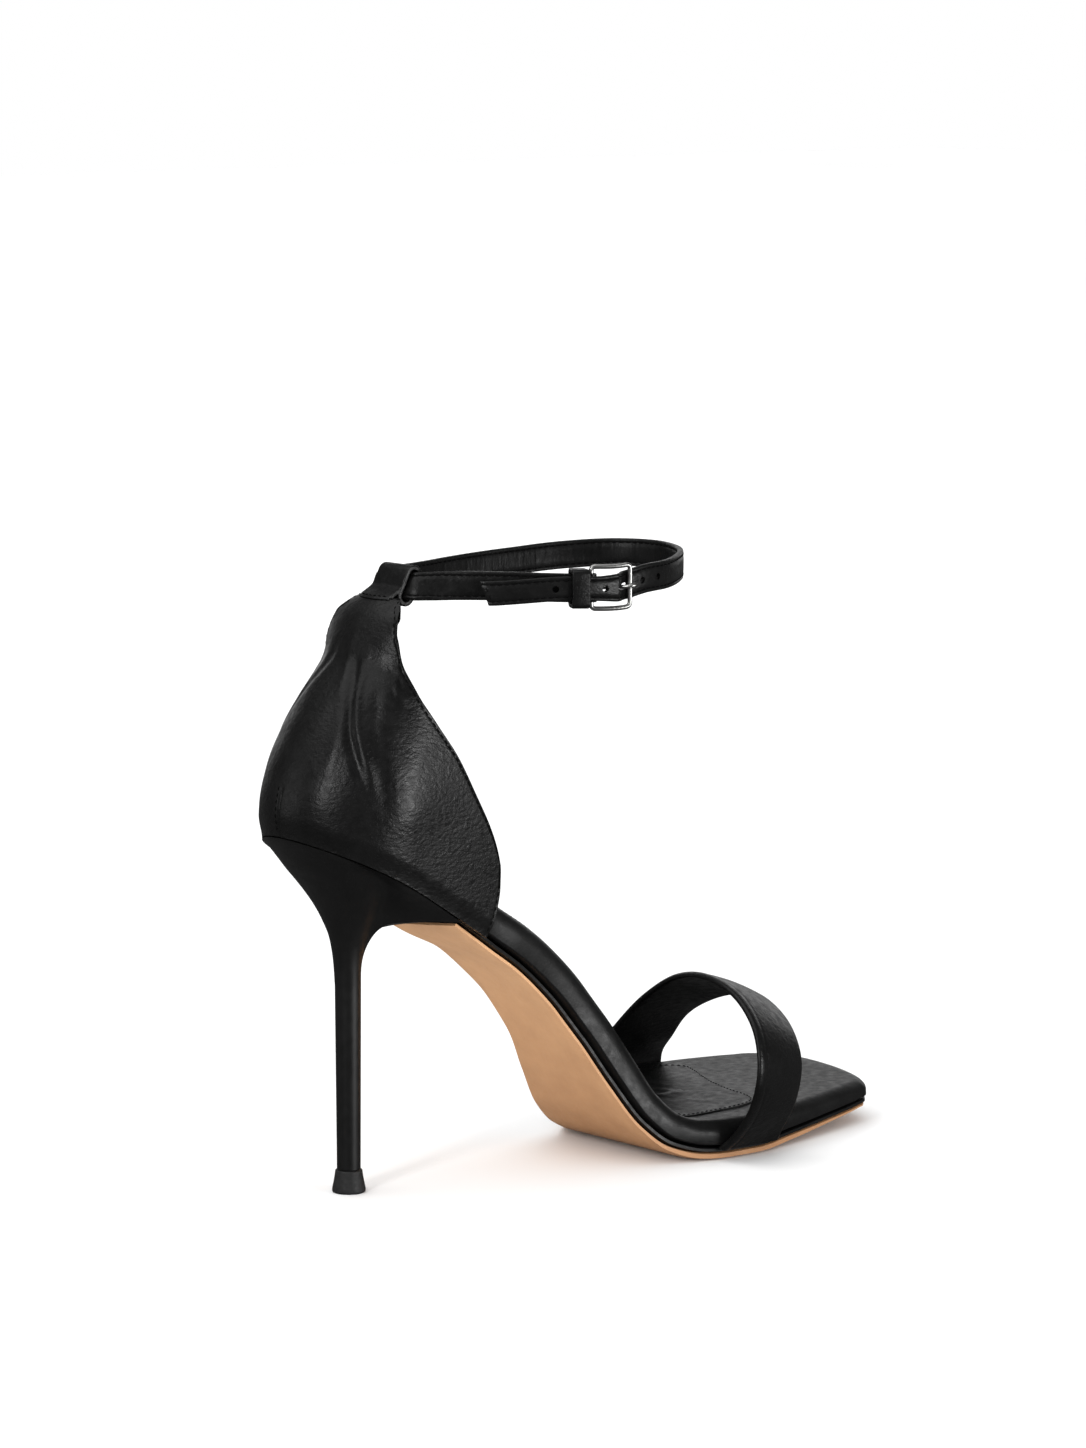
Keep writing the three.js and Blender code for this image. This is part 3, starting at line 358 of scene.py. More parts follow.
def sole_layer(back, count, across, edge, grow, low, high, skew=0.0):
    """Rings of one layer of the sole: its outline, and its two faces as lifts off the last's underside."""
    xs = stations(back, count, grow)
    lateral, medial = edge(xs, -1), edge(xs, 1)
    border = np.concatenate([np.stack([xs, lateral], 1), np.stack([xs, medial], 1)[::-1]])
    shares = (1 - np.cos(np.pi * np.arange(across + 1) / across)) / 2
    rings = []
    for x, left, right in zip(xs, lateral, medial):
        y = mix(left, right, shares)
        flat = np.full_like(y, x)
        distance = edge_distance(border, flat, y)
        slant = skew * (1 - ease((x - back) / SKEW_RUN))
        upper = off_bottom(flat + slant * y, y, high(flat, y, distance))
        lower = off_bottom(flat + slant * y, y, low(flat, y, distance))
        rings.append(np.concatenate([upper, lower[::-1]]))
    return np.array(rings)


PAD = table("along waist ball toe bulge", [
    (0.000, 0.62, 0, 0, 0),
    (0.211, 0.90, 0, 0, 0),
    (0.262, 1.00, 0, 0, 0.15),
    (0.310, 1.00, 0, 0, 0.80),
    (0.380, 1.00, 0, 0, 1.00),
    (0.450, 1.00, 0, 0, 0.90),
    (0.520, 0.50, 0.50, 0, 0.50),
    (0.590, 0, 1.00, 0, 0.25),
    (0.700, 0, 0.95, 0.05, 0.20),
    (0.850, 0, 0.30, 0.70, 0.20),
    (1.000, 0, 0, 1.00, 0.20),
])
pad_columns = {name: column(PAD, "along", name) for name in ("waist", "ball", "toe", "bulge")}
PAD_FLOOR = BOARD_THICKNESS + LAYER_GAP


def pad_thickness(x):
    at = along_at(x)
    return PAD_WAIST * pad_columns["waist"](at) + PAD_BALL * pad_columns["ball"](at) + PAD_TOE * pad_columns["toe"](at)


def pad_edge(x, side):
    return board_edge(x, side, PAD_BULGE * pad_columns["bulge"](along_at(x)))


# Where the footbed's side starts to turn, as shares of its half thickness: high face, low face
PAD_RIM_HIGH = -0.15
PAD_RIM_LOW = 0.78


def pad_lift(x, distance, sign):
    half = pad_thickness(x) / 2
    share = 1 - np.minimum(1, distance / PAD_ROUND)
    rim = PAD_RIM_HIGH if sign > 0 else PAD_RIM_LOW
    return PAD_FLOOR + half + sign * half * mix(rim, 1, np.sqrt(1 - share**2))


# Shares of the foot's length where the outsole thickens past the waist and thins again to the toe
WAIST_END = 0.50
WAIST_FADE = 0.09
TOE_START = 0.72
TOE_FADE = 0.25


def outsole_depth(x):
    thicker = ease((along_at(x) - WAIST_END) / WAIST_FADE)
    thinner = ease((along_at(x) - TOE_START) / TOE_FADE)
    return mix(mix(OUTSOLE_WAIST, OUTSOLE_BALL, thicker), OUTSOLE_TOE, thinner)


# The counter's form, as in the model
COUNTER_LEVELS = table("up back half depth", [
    (-0.55, 0.000, 0.494, 0.53),
    (-0.24, 0.000, 0.510, 0.53),
    (0.00, 0.000, 0.517, 0.53),
    (0.11, 0.008, 0.515, 0.53),
    (0.28, 0.062, 0.505, 0.53),
    (0.42, 0.150, 0.480, 0.50),
    (0.58, 0.290, 0.442, 0.45),
    (0.74, 0.460, 0.415, 0.36),
    (0.84, 0.520, 0.420, 0.28),
    (0.92, 0.582, 0.430, 0.24),
    (0.96, 0.628, 0.360, 0.22),
    (1.00, 0.690, 0.240, 0.20),
])
counter_back = column(COUNTER_LEVELS, "up", "back")
counter_half = column(COUNTER_LEVELS, "up", "half")
counter_depth = column(COUNTER_LEVELS, "up", "depth")
TOPLINE = table("up reach", [
    (-0.52, 1.090),
    (-0.44, 1.138),
    (-0.36, 1.168),
    (-0.28, 1.183),
    (-0.21, 1.182),
    (-0.13, 1.166),
    (-0.05, 1.134),
    (0.03, 1.088),
    (0.15, 1.005),
    (0.34, 0.870),
    (0.48, 0.748),
    (0.61, 0.650),
    (0.74, 0.610),
    (0.84, 0.606),
    (0.91, 0.628),
    (0.96, 0.668),
    (1.00, 0.740),
])
topline_reach = column(TOPLINE, "up", "reach")
ROUND_SHARE = 0.6
WING_REACH = 1.22


def counter_plan(turn, up, side):
    """A section's point from its turn: 0 at the back, ROUND_SHARE where the round part ends, 1 in front."""
    back = SOLE_BACK + SEAT_WIDTH * counter_back(up)
    half = SEAT_WIDTH * counter_half(up)
    depth = SEAT_WIDTH * counter_depth(up)
    angle = np.minimum(turn / ROUND_SHARE, 1) * np.pi / 2
    share = np.maximum((turn - ROUND_SHARE) / (1 - ROUND_SHARE), 0)
    front = SOLE_BACK + SEAT_WIDTH * WING_REACH
    x = np.where(turn <= ROUND_SHARE, back + depth * (1 - np.cos(angle)), mix(back + depth, front, share))
    y = np.where(turn <= ROUND_SHARE, half * np.sin(angle), half * (1 - 0.04 * share**2))
    return np.stack([x, side * y, HEEL_HEIGHT + COUNTER_HEIGHT * up + 0 * x], axis=-1)


def turn_at(x, up):
    back = SOLE_BACK + SEAT_WIDTH * counter_back(up)
    depth = SEAT_WIDTH * counter_depth(up)
    front = SOLE_BACK + SEAT_WIDTH * WING_REACH
    round_turn = ROUND_SHARE * np.arccos(np.clip(1 - (x - back) / depth, -1, 1)) / (np.pi / 2)
    straight = ROUND_SHARE + (1 - ROUND_SHARE) * (x - back - depth) / (front - back - depth)
    return np.where(x <= back + depth, round_turn, straight)


def seam_up(turn, side):
    up = np.zeros_like(turn)
    for _ in range(12):
        place = counter_plan(turn, up, side)
        up = (bottom_height(place[..., 0], place[..., 1]) - HEEL_HEIGHT) / COUNTER_HEIGHT
    return up


def counter_normal(turn, up, side):
    step = 0.004
    on_turn = counter_plan(turn + step, up, side) - counter_plan(np.maximum(0, turn - step), up, side)
    on_rise = counter_plan(turn, up + step, side) - counter_plan(turn, up - step, side)
    return -unit(np.cross(on_turn, on_rise)) * side


def counter_point(turn, up, side, offset):
    above = COUNTER_HEIGHT * (up - seam_up(turn, side))
    bulge = COUNTER_BULGE * ease(above / BULGE_RISE)
    return counter_plan(turn, up, side) + counter_normal(turn, up, side) * (bulge + offset)[..., None]


# Procedural materials

class Nodes:
    """Short calls for building one material's nodes."""

    def __init__(self, name):
        self.material = bpy.data.materials.new(name)
        self.material.use_nodes = True
        self.tree = self.material.node_tree
        self.shader = self.tree.nodes["Principled BSDF"]
        self.place = self.add("ShaderNodeTexCoord").outputs["Object"]

    def add(self, kind, **settings):
        node = self.tree.nodes.new(kind)
        for key, value in settings.items():
            setattr(node, key, value)
        return node

    def link(self, output, target):
        self.tree.links.new(output, target)

    def stretched(self, scale):
        mapping = self.add("ShaderNodeMapping")
        mapping.inputs["Scale"].default_value = scale
        self.link(self.place, mapping.inputs["Vector"])
        return mapping.outputs["Vector"]

    def noise(self, size, detail=3.0, stretch=(1, 1, 1)):
        """Noise whose features are about this many millimetres wide."""
        node = self.add("ShaderNodeTexNoise")
        node.inputs["Scale"].default_value = 1 / (size * MM)
        node.inputs["Detail"].default_value = detail
        self.link(self.stretched(stretch), node.inputs["Vector"])
        return node.outputs["Fac"]

    def cells(self, size, feature="DISTANCE_TO_EDGE", stretch=(1, 1, 1)):
        node = self.add("ShaderNodeTexVoronoi", feature=feature)
        node.inputs["Scale"].default_value = 1 / (size * MM)
        node.inputs["Randomness"].default_value = 1.0
        self.link(self.stretched(stretch), node.inputs["Vector"])
        return node.outputs["Distance"]

    def ramp(self, source, low, high, start=0.0, end=1.0):
        node = self.add("ShaderNodeMapRange")
        node.inputs["From Min"].default_value = start
        node.inputs["From Max"].default_value = end
        node.inputs["To Min"].default_value = low
        node.inputs["To Max"].default_value = high
        self.link(source, node.inputs["Value"])
        return node.outputs["Result"]

    def colours(self, source, first, second):
        node = self.add("ShaderNodeMix", data_type="RGBA")
        node.inputs["A"].default_value = (*first, 1)
        node.inputs["B"].default_value = (*second, 1)
        self.link(source, node.inputs["Factor"])
        self.link(node.outputs["Result"], self.shader.inputs["Base Color"])

    def bump(self, source, height, strength, below=None):
        node = self.add("ShaderNodeBump")
        node.inputs["Strength"].default_value = strength
        node.inputs["Distance"].default_value = height * MM
        self.link(source, node.inputs["Height"])
        if below:
            self.link(below, node.inputs["Normal"])
        return node.outputs["Normal"]

    def finish(self, normal=None, **constants):
        if normal:
            self.link(normal, self.shader.inputs["Normal"])
        for key, value in constants.items():
            self.shader.inputs[key.replace("_", " ")].default_value = value
        return self.material


def nappa(name, dark, light, rough, grain=0.75, crease=0.5, stretch=(1.0, 1.0, 1.5)):
    """Smooth calf leather: a fine cell grain, faint wrinkles and an uneven sheen."""
    n = Nodes(name)
    cloudy = n.noise(9, 4)
    n.colours(n.ramp(cloudy, 0, 1, 0.3, 0.7), dark, light)
    n.link(n.ramp(n.noise(2.4, 4), rough - 0.07, rough + 0.09, 0.3, 0.7), n.shader.inputs["Roughness"])
    broad = n.bump(n.noise(4.5, 4, stretch), 0.35, crease * 0.5)
    wrinkles = n.bump(n.ramp(n.noise(1.5, 3, stretch), 0, 1, 0.35, 0.62), 0.12, crease * 0.75, broad)
    pores = n.bump(n.ramp(n.cells(grain), 0, 1, 0, 0.25), 0.05, 0.22, wrinkles)
    fine = n.bump(n.noise(0.25, 2), 0.03, 0.3, pores)
    return n.finish(fine, Specular_IOR_Level=0.26)


def covered_heel():
    """Thin leather stretched round the heel, smoother than the upper."""
    n = Nodes("heel_cover")
    n.colours(n.ramp(n.noise(14, 3), 0, 1, 0.3, 0.7), (0.0022, 0.0022, 0.0022), (0.0036, 0.0036, 0.0036))
    n.link(n.ramp(n.noise(3, 4), 0.34, 0.46, 0.3, 0.7), n.shader.inputs["Roughness"])
    pores = n.bump(n.ramp(n.cells(0.6), 0, 1, 0, 0.25), 0.03, 0.2)
    return n.finish(pores, Specular_IOR_Level=0.42)


def sole_leather():
    """Tan sole leather with faint fibres and a matt, slightly mottled face, darker towards the ball with painted shade
    where it nears the floor.
    """
    n = Nodes("sole_leather")
    shank = n.add("ShaderNodeSeparateXYZ")
    n.link(n.place, shank.inputs["Vector"])
    # Painted shade: the sole darkens towards the ball, where it comes down near the floor.
    painted_ball_shade = n.ramp(shank.outputs["X"], 0.0, 0.8, 50 * MM, 105 * MM)
    mottle = n.ramp(n.noise(7, 5), 0.0, 0.2, 0.3, 0.7)
    both = n.add("ShaderNodeMath", operation="ADD")
    n.link(painted_ball_shade, both.inputs[0])
    n.link(mottle, both.inputs[1])
    # The darker tan serves both the random mottle and the painted shade towards the ball.
    n.colours(both.outputs[0], (0.585, 0.327, 0.162), (0.335, 0.166, 0.075))
    n.link(n.ramp(n.noise(1.5, 4), 0.52, 0.68, 0.3, 0.7), n.shader.inputs["Roughness"])
    fibres = n.bump(n.noise(0.9, 4, (0.35, 1.6, 1.0)), 0.05, 0.22)
    pores = n.bump(n.cells(0.8), 0.03, 0.15, fibres)
    return n.finish(pores, Specular_IOR_Level=0.35)


def tip_rubber():
    n = Nodes("tip_rubber")
    n.colours(n.ramp(n.noise(1.2, 4), 0, 1, 0.3, 0.7), (0.007, 0.007, 0.0072), (0.012, 0.012, 0.0122))
    n.link(n.ramp(n.noise(0.8, 3), 0.55, 0.72, 0.3, 0.7), n.shader.inputs["Roughness"])
    return n.finish(n.bump(n.noise(0.35, 3), 0.04, 0.3), Specular_IOR_Level=0.4)


def satin_metal():
    n = Nodes("satin_metal")
    n.colours(n.ramp(n.noise(2.0, 3), 0, 1, 0.3, 0.7), (0.41, 0.41, 0.40), (0.48, 0.48, 0.47))
    n.link(n.ramp(n.noise(0.5, 4, (1, 1, 0.2)), 0.26, 0.38, 0.3, 0.7), n.shader.inputs["Roughness"])
    return n.finish(n.bump(n.noise(0.12, 2, (1, 1, 0.15)), 0.01, 0.2), Metallic=1.0)


def thread():
    n = Nodes("thread")
    n.colours(n.ramp(n.noise(0.4, 2), 0, 1, 0.3, 0.7), (0.0012, 0.0012, 0.0012), (0.0026, 0.0026, 0.0026))
    twist = n.bump(n.noise(0.12, 2), 0.04, 0.5)
    return n.finish(twist, Roughness=0.8, Specular_IOR_Level=0.1)


def edge_paint_and_highlight():
    """Edge paint of the leather, a little greyer than its face: partly its own colour and partly a painted highlight,
    the light line along the rim.
    """
    n = Nodes("edge_paint_and_highlight")
    n.colours(n.ramp(n.noise(1.0, 4), 0, 1, 0.3, 0.7), (0.012, 0.012, 0.0122), (0.020, 0.020, 0.0202))
    return n.finish(n.bump(n.noise(0.3, 3), 0.04, 0.35), Roughness=0.5)


UPPER = nappa("upper_leather", (0.0024, 0.0024, 0.0024), (0.0042, 0.0042, 0.0042), 0.35)
LINING = nappa("lining_leather", (0.0034, 0.0034, 0.0034), (0.0058, 0.0058, 0.0058), 0.40, 0.6, 0.12)
STRAP_LINING = nappa("strap_lining", (0.0034, 0.0034, 0.0034), (0.0058, 0.0058, 0.0058), 0.40, 0.6, 1.0, (1.0, 1.0, 0.22))
COVER = covered_heel()
TAN = sole_leather()
RUBBER = tip_rubber()
METAL = satin_metal()
THREAD = thread()
EDGE = edge_paint_and_highlight()


# Seams

def stitches(name, points, outs, pitch=2.1, radius=0.22, sink=0.03, material=None):
    """A row of short threads along points on a surface whose outward directions are outs."""
    points, outs = np.asarray(points, float), unit(np.asarray(outs, float))
    own = lengths_along(points)
    count = max(1, round(own[-1] / pitch))
    step = own[-1] / count
    sides, parts = 6, 5
    sizes = radius * np.array([0.35, 0.85, 1, 0.85, 0.35])
    lifts = 0.6 * radius * np.sin(np.linspace(0, np.pi, parts)) - sink
    turn = np.linspace(0, 2 * np.pi, sides, endpoint=False)[:, None]
    body, faces = [], []
    for k in range(count):
        span = np.linspace((k + 0.14) * step, (k + 0.86) * step, parts)
        line = np.stack([np.interp(span, own, points[:, j]) for j in range(3)], 1)
        up = unit(np.stack([np.interp(span, own, outs[:, j]) for j in range(3)], 1))
        across = unit(np.cross(line[-1] - line[0], up))
        rings = [p + u * (lift + size * np.sin(turn)) + v * size * np.cos(turn)
                 for p, u, v, lift, size in zip(line, up, across, lifts, sizes)]
        loose = np.concatenate(rings)
        own_faces = facing_out(loose, ring_faces(parts, sides))
        faces += [tuple(k * parts * sides + i for i in face) for face in own_faces]
        body.append(loose)
    return mesh_piece(name, np.concatenate(body), faces, material or THREAD)


# Sole, heel and top piece

def outsole_edge(x):
    """Share of the outsole's depth that its tan edge shows: less towards the toe."""
    return mix(0.35, 0.12, ease((along_at(x) - TOE_START) / TOE_FADE))


def add_outsole():
    bevel = 4
    rings = sole_layer(
        BREAST_SET + 2 * CLEARANCE, 150, 36, lambda x, side: board_edge(x, side, -OUTSOLE_INSET), -OUTSOLE_INSET,
        low=lambda x, y, d: -LAYER_GAP - outsole_depth(x) * mix(outsole_edge(x), 1, ease(0.5 + d / bevel / 2) ** 0.8),
        high=lambda x, y, d: -LAYER_GAP - 0.25 * np.exp(-d / 0.4),
        skew=BREAST_SKEW)
    lofted("outsole_leather", rings, TAN, node="outsole", slot="tan_leather")


def add_board():
    rings = sole_layer(
        BOARD_BACK, 150, 30, board_edge, 0.0,
        low=lambda x, y, d: 0.25 * np.exp(-d / 0.4),
        high=lambda x, y, d: BOARD_THICKNESS - 0.25 * np.exp(-d / 0.4))
    lofted("board_cover", rings, LINING, node="insole_board", slot="lining_leather")


def add_footbed():
    def high(x, y, d):
        return pad_lift(x, d, 1)

    rings = sole_layer(
        BOARD_BACK, 170, 56, pad_edge, PAD_BULGE * pad_columns["bulge"](1),
        low=lambda x, y, d: pad_lift(x, d, -1), high=high)
    cover = lofted("footbed_cover", rings, LINING, node="footbed", slot="lining_leather")


# The sock's stitched outline on the footbed, from its lateral side round the front to its medial side
SOCK_FRONT = [
    (100, -27.5),
    (109, -27.3),
    (118.5, -26.6),
    (128.4, -26.2),
    (134.5, -24.4),
    (138.0, -19.0),
    (139.6, -9.6),
    (143.1, 3.3),
    (147.0, 12.5),
    (151.5, 22.0),
    (153.2, 28.5),
    (149.0, 33.5),
    (140.0, 35.6),
    (128.0, 33.4),
]
SOCK_INSET = 5.0
SOCK_BACK = 14
SOCK_RISE = 0.35
PUCKERS = [
    (112, 22, 118, 8, 0.25),
    (117, 20, 122, 2, -0.22),
    (121, 14, 128, -6, 0.22),
    (114, 6, 121, -12, -0.18),
    (126, 22, 131, 6, 0.16),
    (118, -4, 126, -18, 0.18),
]


PUCKER_WIDTH = 2.3


def sock_sides():
    """The sock's lateral and medial borders, as places across by place along."""
    lateral = [(x, float(pad_edge(x, -1)) + SOCK_INSET) for x in np.arange(SOCK_BACK, 84, 7)]
    medial = [(x, float(pad_edge(x, 1)) - SOCK_INSET) for x in np.arange(110, SOCK_BACK - 1, -7)]
    return spline(lateral + SOCK_FRONT + medial)


def pucker_height(x, y):
    height = 0 * x
    for x0, y0, x1, y1, depth in PUCKERS:
        along = ((x - x0) * (x1 - x0) + (y - y0) * (y1 - y0)) / ((x1 - x0) ** 2 + (y1 - y0) ** 2)
        off = ((x - x0) * (y1 - y0) - (y - y0) * (x1 - x0)) / math.hypot(x1 - x0, y1 - y0)
        height = height + depth * np.sin(np.pi * np.clip(along, 0, 1)) ** 2 * np.exp(-((off / PUCKER_WIDTH) ** 2))
    return height


def pad_border():
    xs = stations(BOARD_BACK, 150, PAD_BULGE)
    lateral = np.stack([xs, pad_edge(xs, -1)], 1)
    medial = np.stack([xs, pad_edge(xs, 1)], 1)
    return np.concatenate([lateral, medial[::-1]])


def on_pad(x, y, rise):
    """Points over the footbed's upper face."""
    distance = edge_distance(pad_border(), x, y)
    step = 0.5
    slope = (bottom_height(x + step, y) - bottom_height(x - step, y)) / (2 * step)
    length = np.hypot(1, slope)
    lift = pad_lift(x, distance, 1) + rise
    return np.stack([x - slope / length * lift, y, bottom_height(x, y) + lift / length], axis=-1)


def add_sock():
    outline = evenly(sock_sides(), 361)
    start, end = outline[0], outline[-1]
    back = np.stack([np.full(40, SOCK_BACK), np.linspace(end[1], start[1], 40)], 1)[1:-1]
    border = np.concatenate([outline, back])
    centre_x = np.clip(border[:, 0], SOCK_BACK + 1, 128)
    centre = np.stack([centre_x, 0.12 * (centre_x - SOCK_BACK) / 10], 1)
    rings = []
    for share in np.concatenate([[1, 1, 0.992, 0.98], np.linspace(0.955, 0.03, 46)]):
        flat = mix(centre, border, share)
        rise = SOCK_RISE + 0.06 + pucker_height(flat[:, 0], flat[:, 1])
        if len(rings) == 0:
            rise = 0 * rise - 0.25
        elif len(rings) == 1:
            rise = 0 * rise + SOCK_RISE * 0.75
        rings.append(on_pad(flat[:, 0], flat[:, 1], rise))
    rings = np.array(rings)
    count = rings.shape[1]
    points = rings.reshape(-1, 3)
    faces = [(r * count + i, r * count + (i + 1) % count, (r + 1) * count + (i + 1) % count, (r + 1) * count + i)
             for r in range(len(rings) - 1) for i in range(count)]
    last = (len(rings) - 1) * count
    faces.append(tuple(last + i for i in range(count)))
    a, b, c = (points[faces[count * 20][k]] for k in range(3))
    if np.cross(b - a, c - a)[2] < 0:
        faces = [tuple(reversed(face)) for face in faces]
    mesh_piece("sock", points, faces, LINING, slot="lining_leather", sharp=80)
    inside = mix(np.stack([np.clip(outline[:, 0], SOCK_BACK + 1, 128), 0 * outline[:, 0]], 1), outline, 0.955)
    seam = on_pad(inside[:, 0], inside[:, 1], SOCK_RISE + 0.04)
    outs = on_pad(inside[:, 0], inside[:, 1], SOCK_RISE + 1.0) - seam
    stitches("sock_seam", seam[::2], outs[::2], 1.9, 0.16)


HEEL_FLARE = table("height back breast", [
    (0.00, 0.000, 0.000),
    (0.15, 0.020, 0.000),
    (0.32, 0.075, 0.005),
    (0.46, 0.190, 0.015),
    (0.56, 0.305, 0.030),
    (0.64, 0.420, 0.046),
    (0.72, 0.550, 0.068),
    (0.80, 0.690, 0.098),
    (0.88, 0.815, 0.150),
    (0.94, 0.910, 0.215),
    (0.98, 0.975, 0.420),
    (1.00, 1.000, 1.000),
])


def heel_rim():
    halves = []
    for side in (-1, 1):
        limit = BREAST_SET + BREAST_SKEW * side * SEAT_WIDTH * 0.47
        turn = turn_at(limit, seam_up(np.array(0.8), side))
        turns = turn * np.linspace(0.01, 1, 44)
        points = counter_plan(turns, seam_up(turns, side), side)
        corner = points[-1]
        y = corner[1] * (1 - np.arange(1, 13) / 12.5)
        breast = np.stack([BREAST_SET + BREAST_SKEW * y, y, 0 * y], 1)
        halves.append(np.concatenate([points, breast]))
    rim = np.concatenate([halves[0], halves[1][::-1]])
    rim[:, 2] = bottom_height(rim[:, 0], rim[:, 1]) - LAYER_GAP
    return rim


def add_heel():
    rim = heel_rim()
    angle = np.arctan2(rim[:, 1], rim[:, 0])
    reach = np.hypot(rim[:, 0], rim[:, 1])
    forward = ease((1 + np.cos(angle)) / 2)
    back_at = column(HEEL_FLARE, "height", "back")
    breast_at = column(HEEL_FLARE, "height", "breast")
    rings = []
    for height in np.concatenate([[1, 0.995, 0.985], np.linspace(0.97, 0, 70)]):
        share = mix(back_at(height), breast_at(height), forward)
        radius = mix(PIN_TOP_RADIUS, reach, share)
        z = mix(PIN_TOP_HEIGHT, rim[:, 2], height)
        rings.append(np.stack([radius * np.cos(angle), radius * np.sin(angle), z], 1))
    for share in np.linspace(0.05, 1, 24):
        radius = mix(PIN_TOP_RADIUS, PIN_FOOT_RADIUS, share)
        z = mix(PIN_TOP_HEIGHT, TIP_HEIGHT + CLEARANCE, share)
        rings.append(np.stack([radius * np.cos(angle), radius * np.sin(angle), 0 * angle + z], 1))
    lofted("heel_covered", rings, COVER, node="heel", slot="heel_cover", sharp=60)


def add_heel_tip():
    heights = np.array([0, 0, 0.12, 0.35, 0.7, 1.5, 3.2, 5, 6.1, 6.35, 6.5, 6.5])
    radii = np.array([4.0, 4.45, 4.68, 4.80, 4.83, 4.72, 4.36, 4.06, 3.92, 3.86, 3.7, 3.2])
    turn = np.linspace(0, 2 * np.pi, 64, endpoint=False)
    rings = [np.stack([r * np.cos(turn), r * np.sin(turn), 0 * turn + z], 1) for z, r in zip(heights, radii)]
    lofted("top_piece", rings, RUBBER, node="heel_tip", slot="tip_rubber")


# Upper

def border_pairs(pairs, side, count):
    line = counter_plan(pairs[:, 0], pairs[:, 1], side)
    own = lengths_along(line)
    places = np.linspace(0, own[-1], count)
    return np.stack([np.interp(places, own, pairs[:, k]) for k in range(2)], 1)


FRONT_LOW = -0.515
FRONT_HIGH = -0.17
COUNTER_COLUMNS = 140
COUNTER_ROWS = 126


def front_turn(up):
    return turn_at(SOLE_BACK + SEAT_WIDTH * topline_reach(up), up)


def counter_grid(side):
    """Turn and height of each point of one half of the counter, by column and row."""
    corner = front_turn(FRONT_LOW)
    turns = np.linspace(0, corner, 200)
    seam = np.stack([turns, seam_up(turns, side)], 1)
    ups = np.linspace(1, FRONT_HIGH, 200)
    edge = np.stack([front_turn(ups), ups], 1)
    shoulder = np.stack([edge[0, 0] * np.arange(10) / 10, np.ones(10)], 1)
    low = border_pairs(seam, side, COUNTER_COLUMNS)
    high = border_pairs(np.concatenate([shoulder, edge]), side, COUNTER_COLUMNS)
    shares = np.linspace(0, 1, COUNTER_ROWS + 1)[None, :, None]
    grid = mix(low[:, None, :], high[:, None, :], shares)
    to_front = (np.arange(COUNTER_COLUMNS) / (COUNTER_COLUMNS - 1))[:, None] ** 6
    grid[..., 0] += to_front * (front_turn(grid[-1, :, 1]) - grid[-1, :, 0])[None, :]
    return grid


# Soft folds of the lateral wall: where each runs, as a turn by height, and how deep and wide it is
FOLD_LINES = table("up ridge trough second hollow", [
    (0.12, 0.216, 0.400, 0.445, 0.470),
    (0.25, 0.214, 0.357, 0.397, 0.440),
    (0.40, 0.207, 0.280, 0.318, 0.378),
    (0.47, 0.198, 0.243, 0.276, 0.350),
    (0.55, 0.170, 0.208, 0.237, 0.325),
    (0.65, 0.106, 0.155, 0.194, 0.285),
    (0.75, 0.056, 0.093, 0.155, 0.250),
    (0.92, 0.030, 0.060, 0.120, 0.220),
])
FOLDS = {
    "ridge": (0.42, 0.036, 0.30, 0.84),
    "trough": (-0.62, 0.022, 0.24, 0.80),
    "second": (0.50, 0.022, 0.28, 0.78),
    "hollow": (-0.38, 0.034, 0.12, 0.62),
}
# Broad swells and hollows: depth, turn, height, and reach in each
SWELLS = [
    (0.75, 0.600, 0.130, 0.130, 0.13),
    (0.45, 0.175, 0.180, 0.080, 0.13),
    (-0.45, 0.370, 0.115, 0.070, 0.08),
    (-0.30, 0.500, 0.480, 0.080, 0.16),
    (0.25, 0.100, 0.560, 0.050, 0.12),
]
# Short sharp wrinkles beside the front edge: depth, start turn and height, end turn and height
WRINKLES = [
    (-0.20, 0.250, 0.800, 0.420, 0.700),
    (-0.22, 0.290, 0.830, 0.470, 0.735),
    (-0.16, 0.240, 0.745, 0.400, 0.640),
    (-0.18, 0.330, 0.690, 0.500, 0.600),
    (-0.14, 0.300, 0.640, 0.470, 0.560),
    (-0.12, 0.360, 0.600, 0.540, 0.520),
    (0.14, 0.270, 0.790, 0.440, 0.690),
    (0.12, 0.320, 0.665, 0.480, 0.580),
]
WRINKLE_WIDTH = 0.011
DART_TOP = 0.223
DART_HALF = 0.35


def fold_depth(turn, up):
    """How far the listed folds, swells and wrinkles move the lateral wall, outward."""
    depth = 0 * turn
    for name, (height, width, low, high) in FOLDS.items():
        centre = column(FOLD_LINES, "up", name)(up)
        window = ease((up - low + 0.1) / 0.2) * ease((high + 0.08 - up) / 0.16)
        depth = depth + height * window * np.exp(-(((turn - centre) / width) ** 2))
    for height, at_turn, at_up, over_turn, over_up in SWELLS:
        depth = depth + height * np.exp(-(((turn - at_turn) / over_turn) ** 2) - ((up - at_up) / over_up) ** 2)
    for height, turn_a, up_a, turn_b, up_b in WRINKLES:
        share = ((turn - turn_a) * (turn_b - turn_a) + (up - up_a) * (up_b - up_a)) / (
            (turn_b - turn_a) ** 2 + (up_b - up_a) ** 2)
        wave = 0.012 * np.sin(7 * share + 40 * turn_a)
        off = (turn - turn_a) * (up_b - up_a) - (up - up_a) * (turn_b - turn_a)
        off = off / math.hypot(turn_b - turn_a, up_b - up_a) + wave
        depth = depth + height * np.sin(np.pi * np.clip(share, 0, 1)) ** 2 * np.exp(-((off / WRINKLE_WIDTH) ** 2))
    return depth


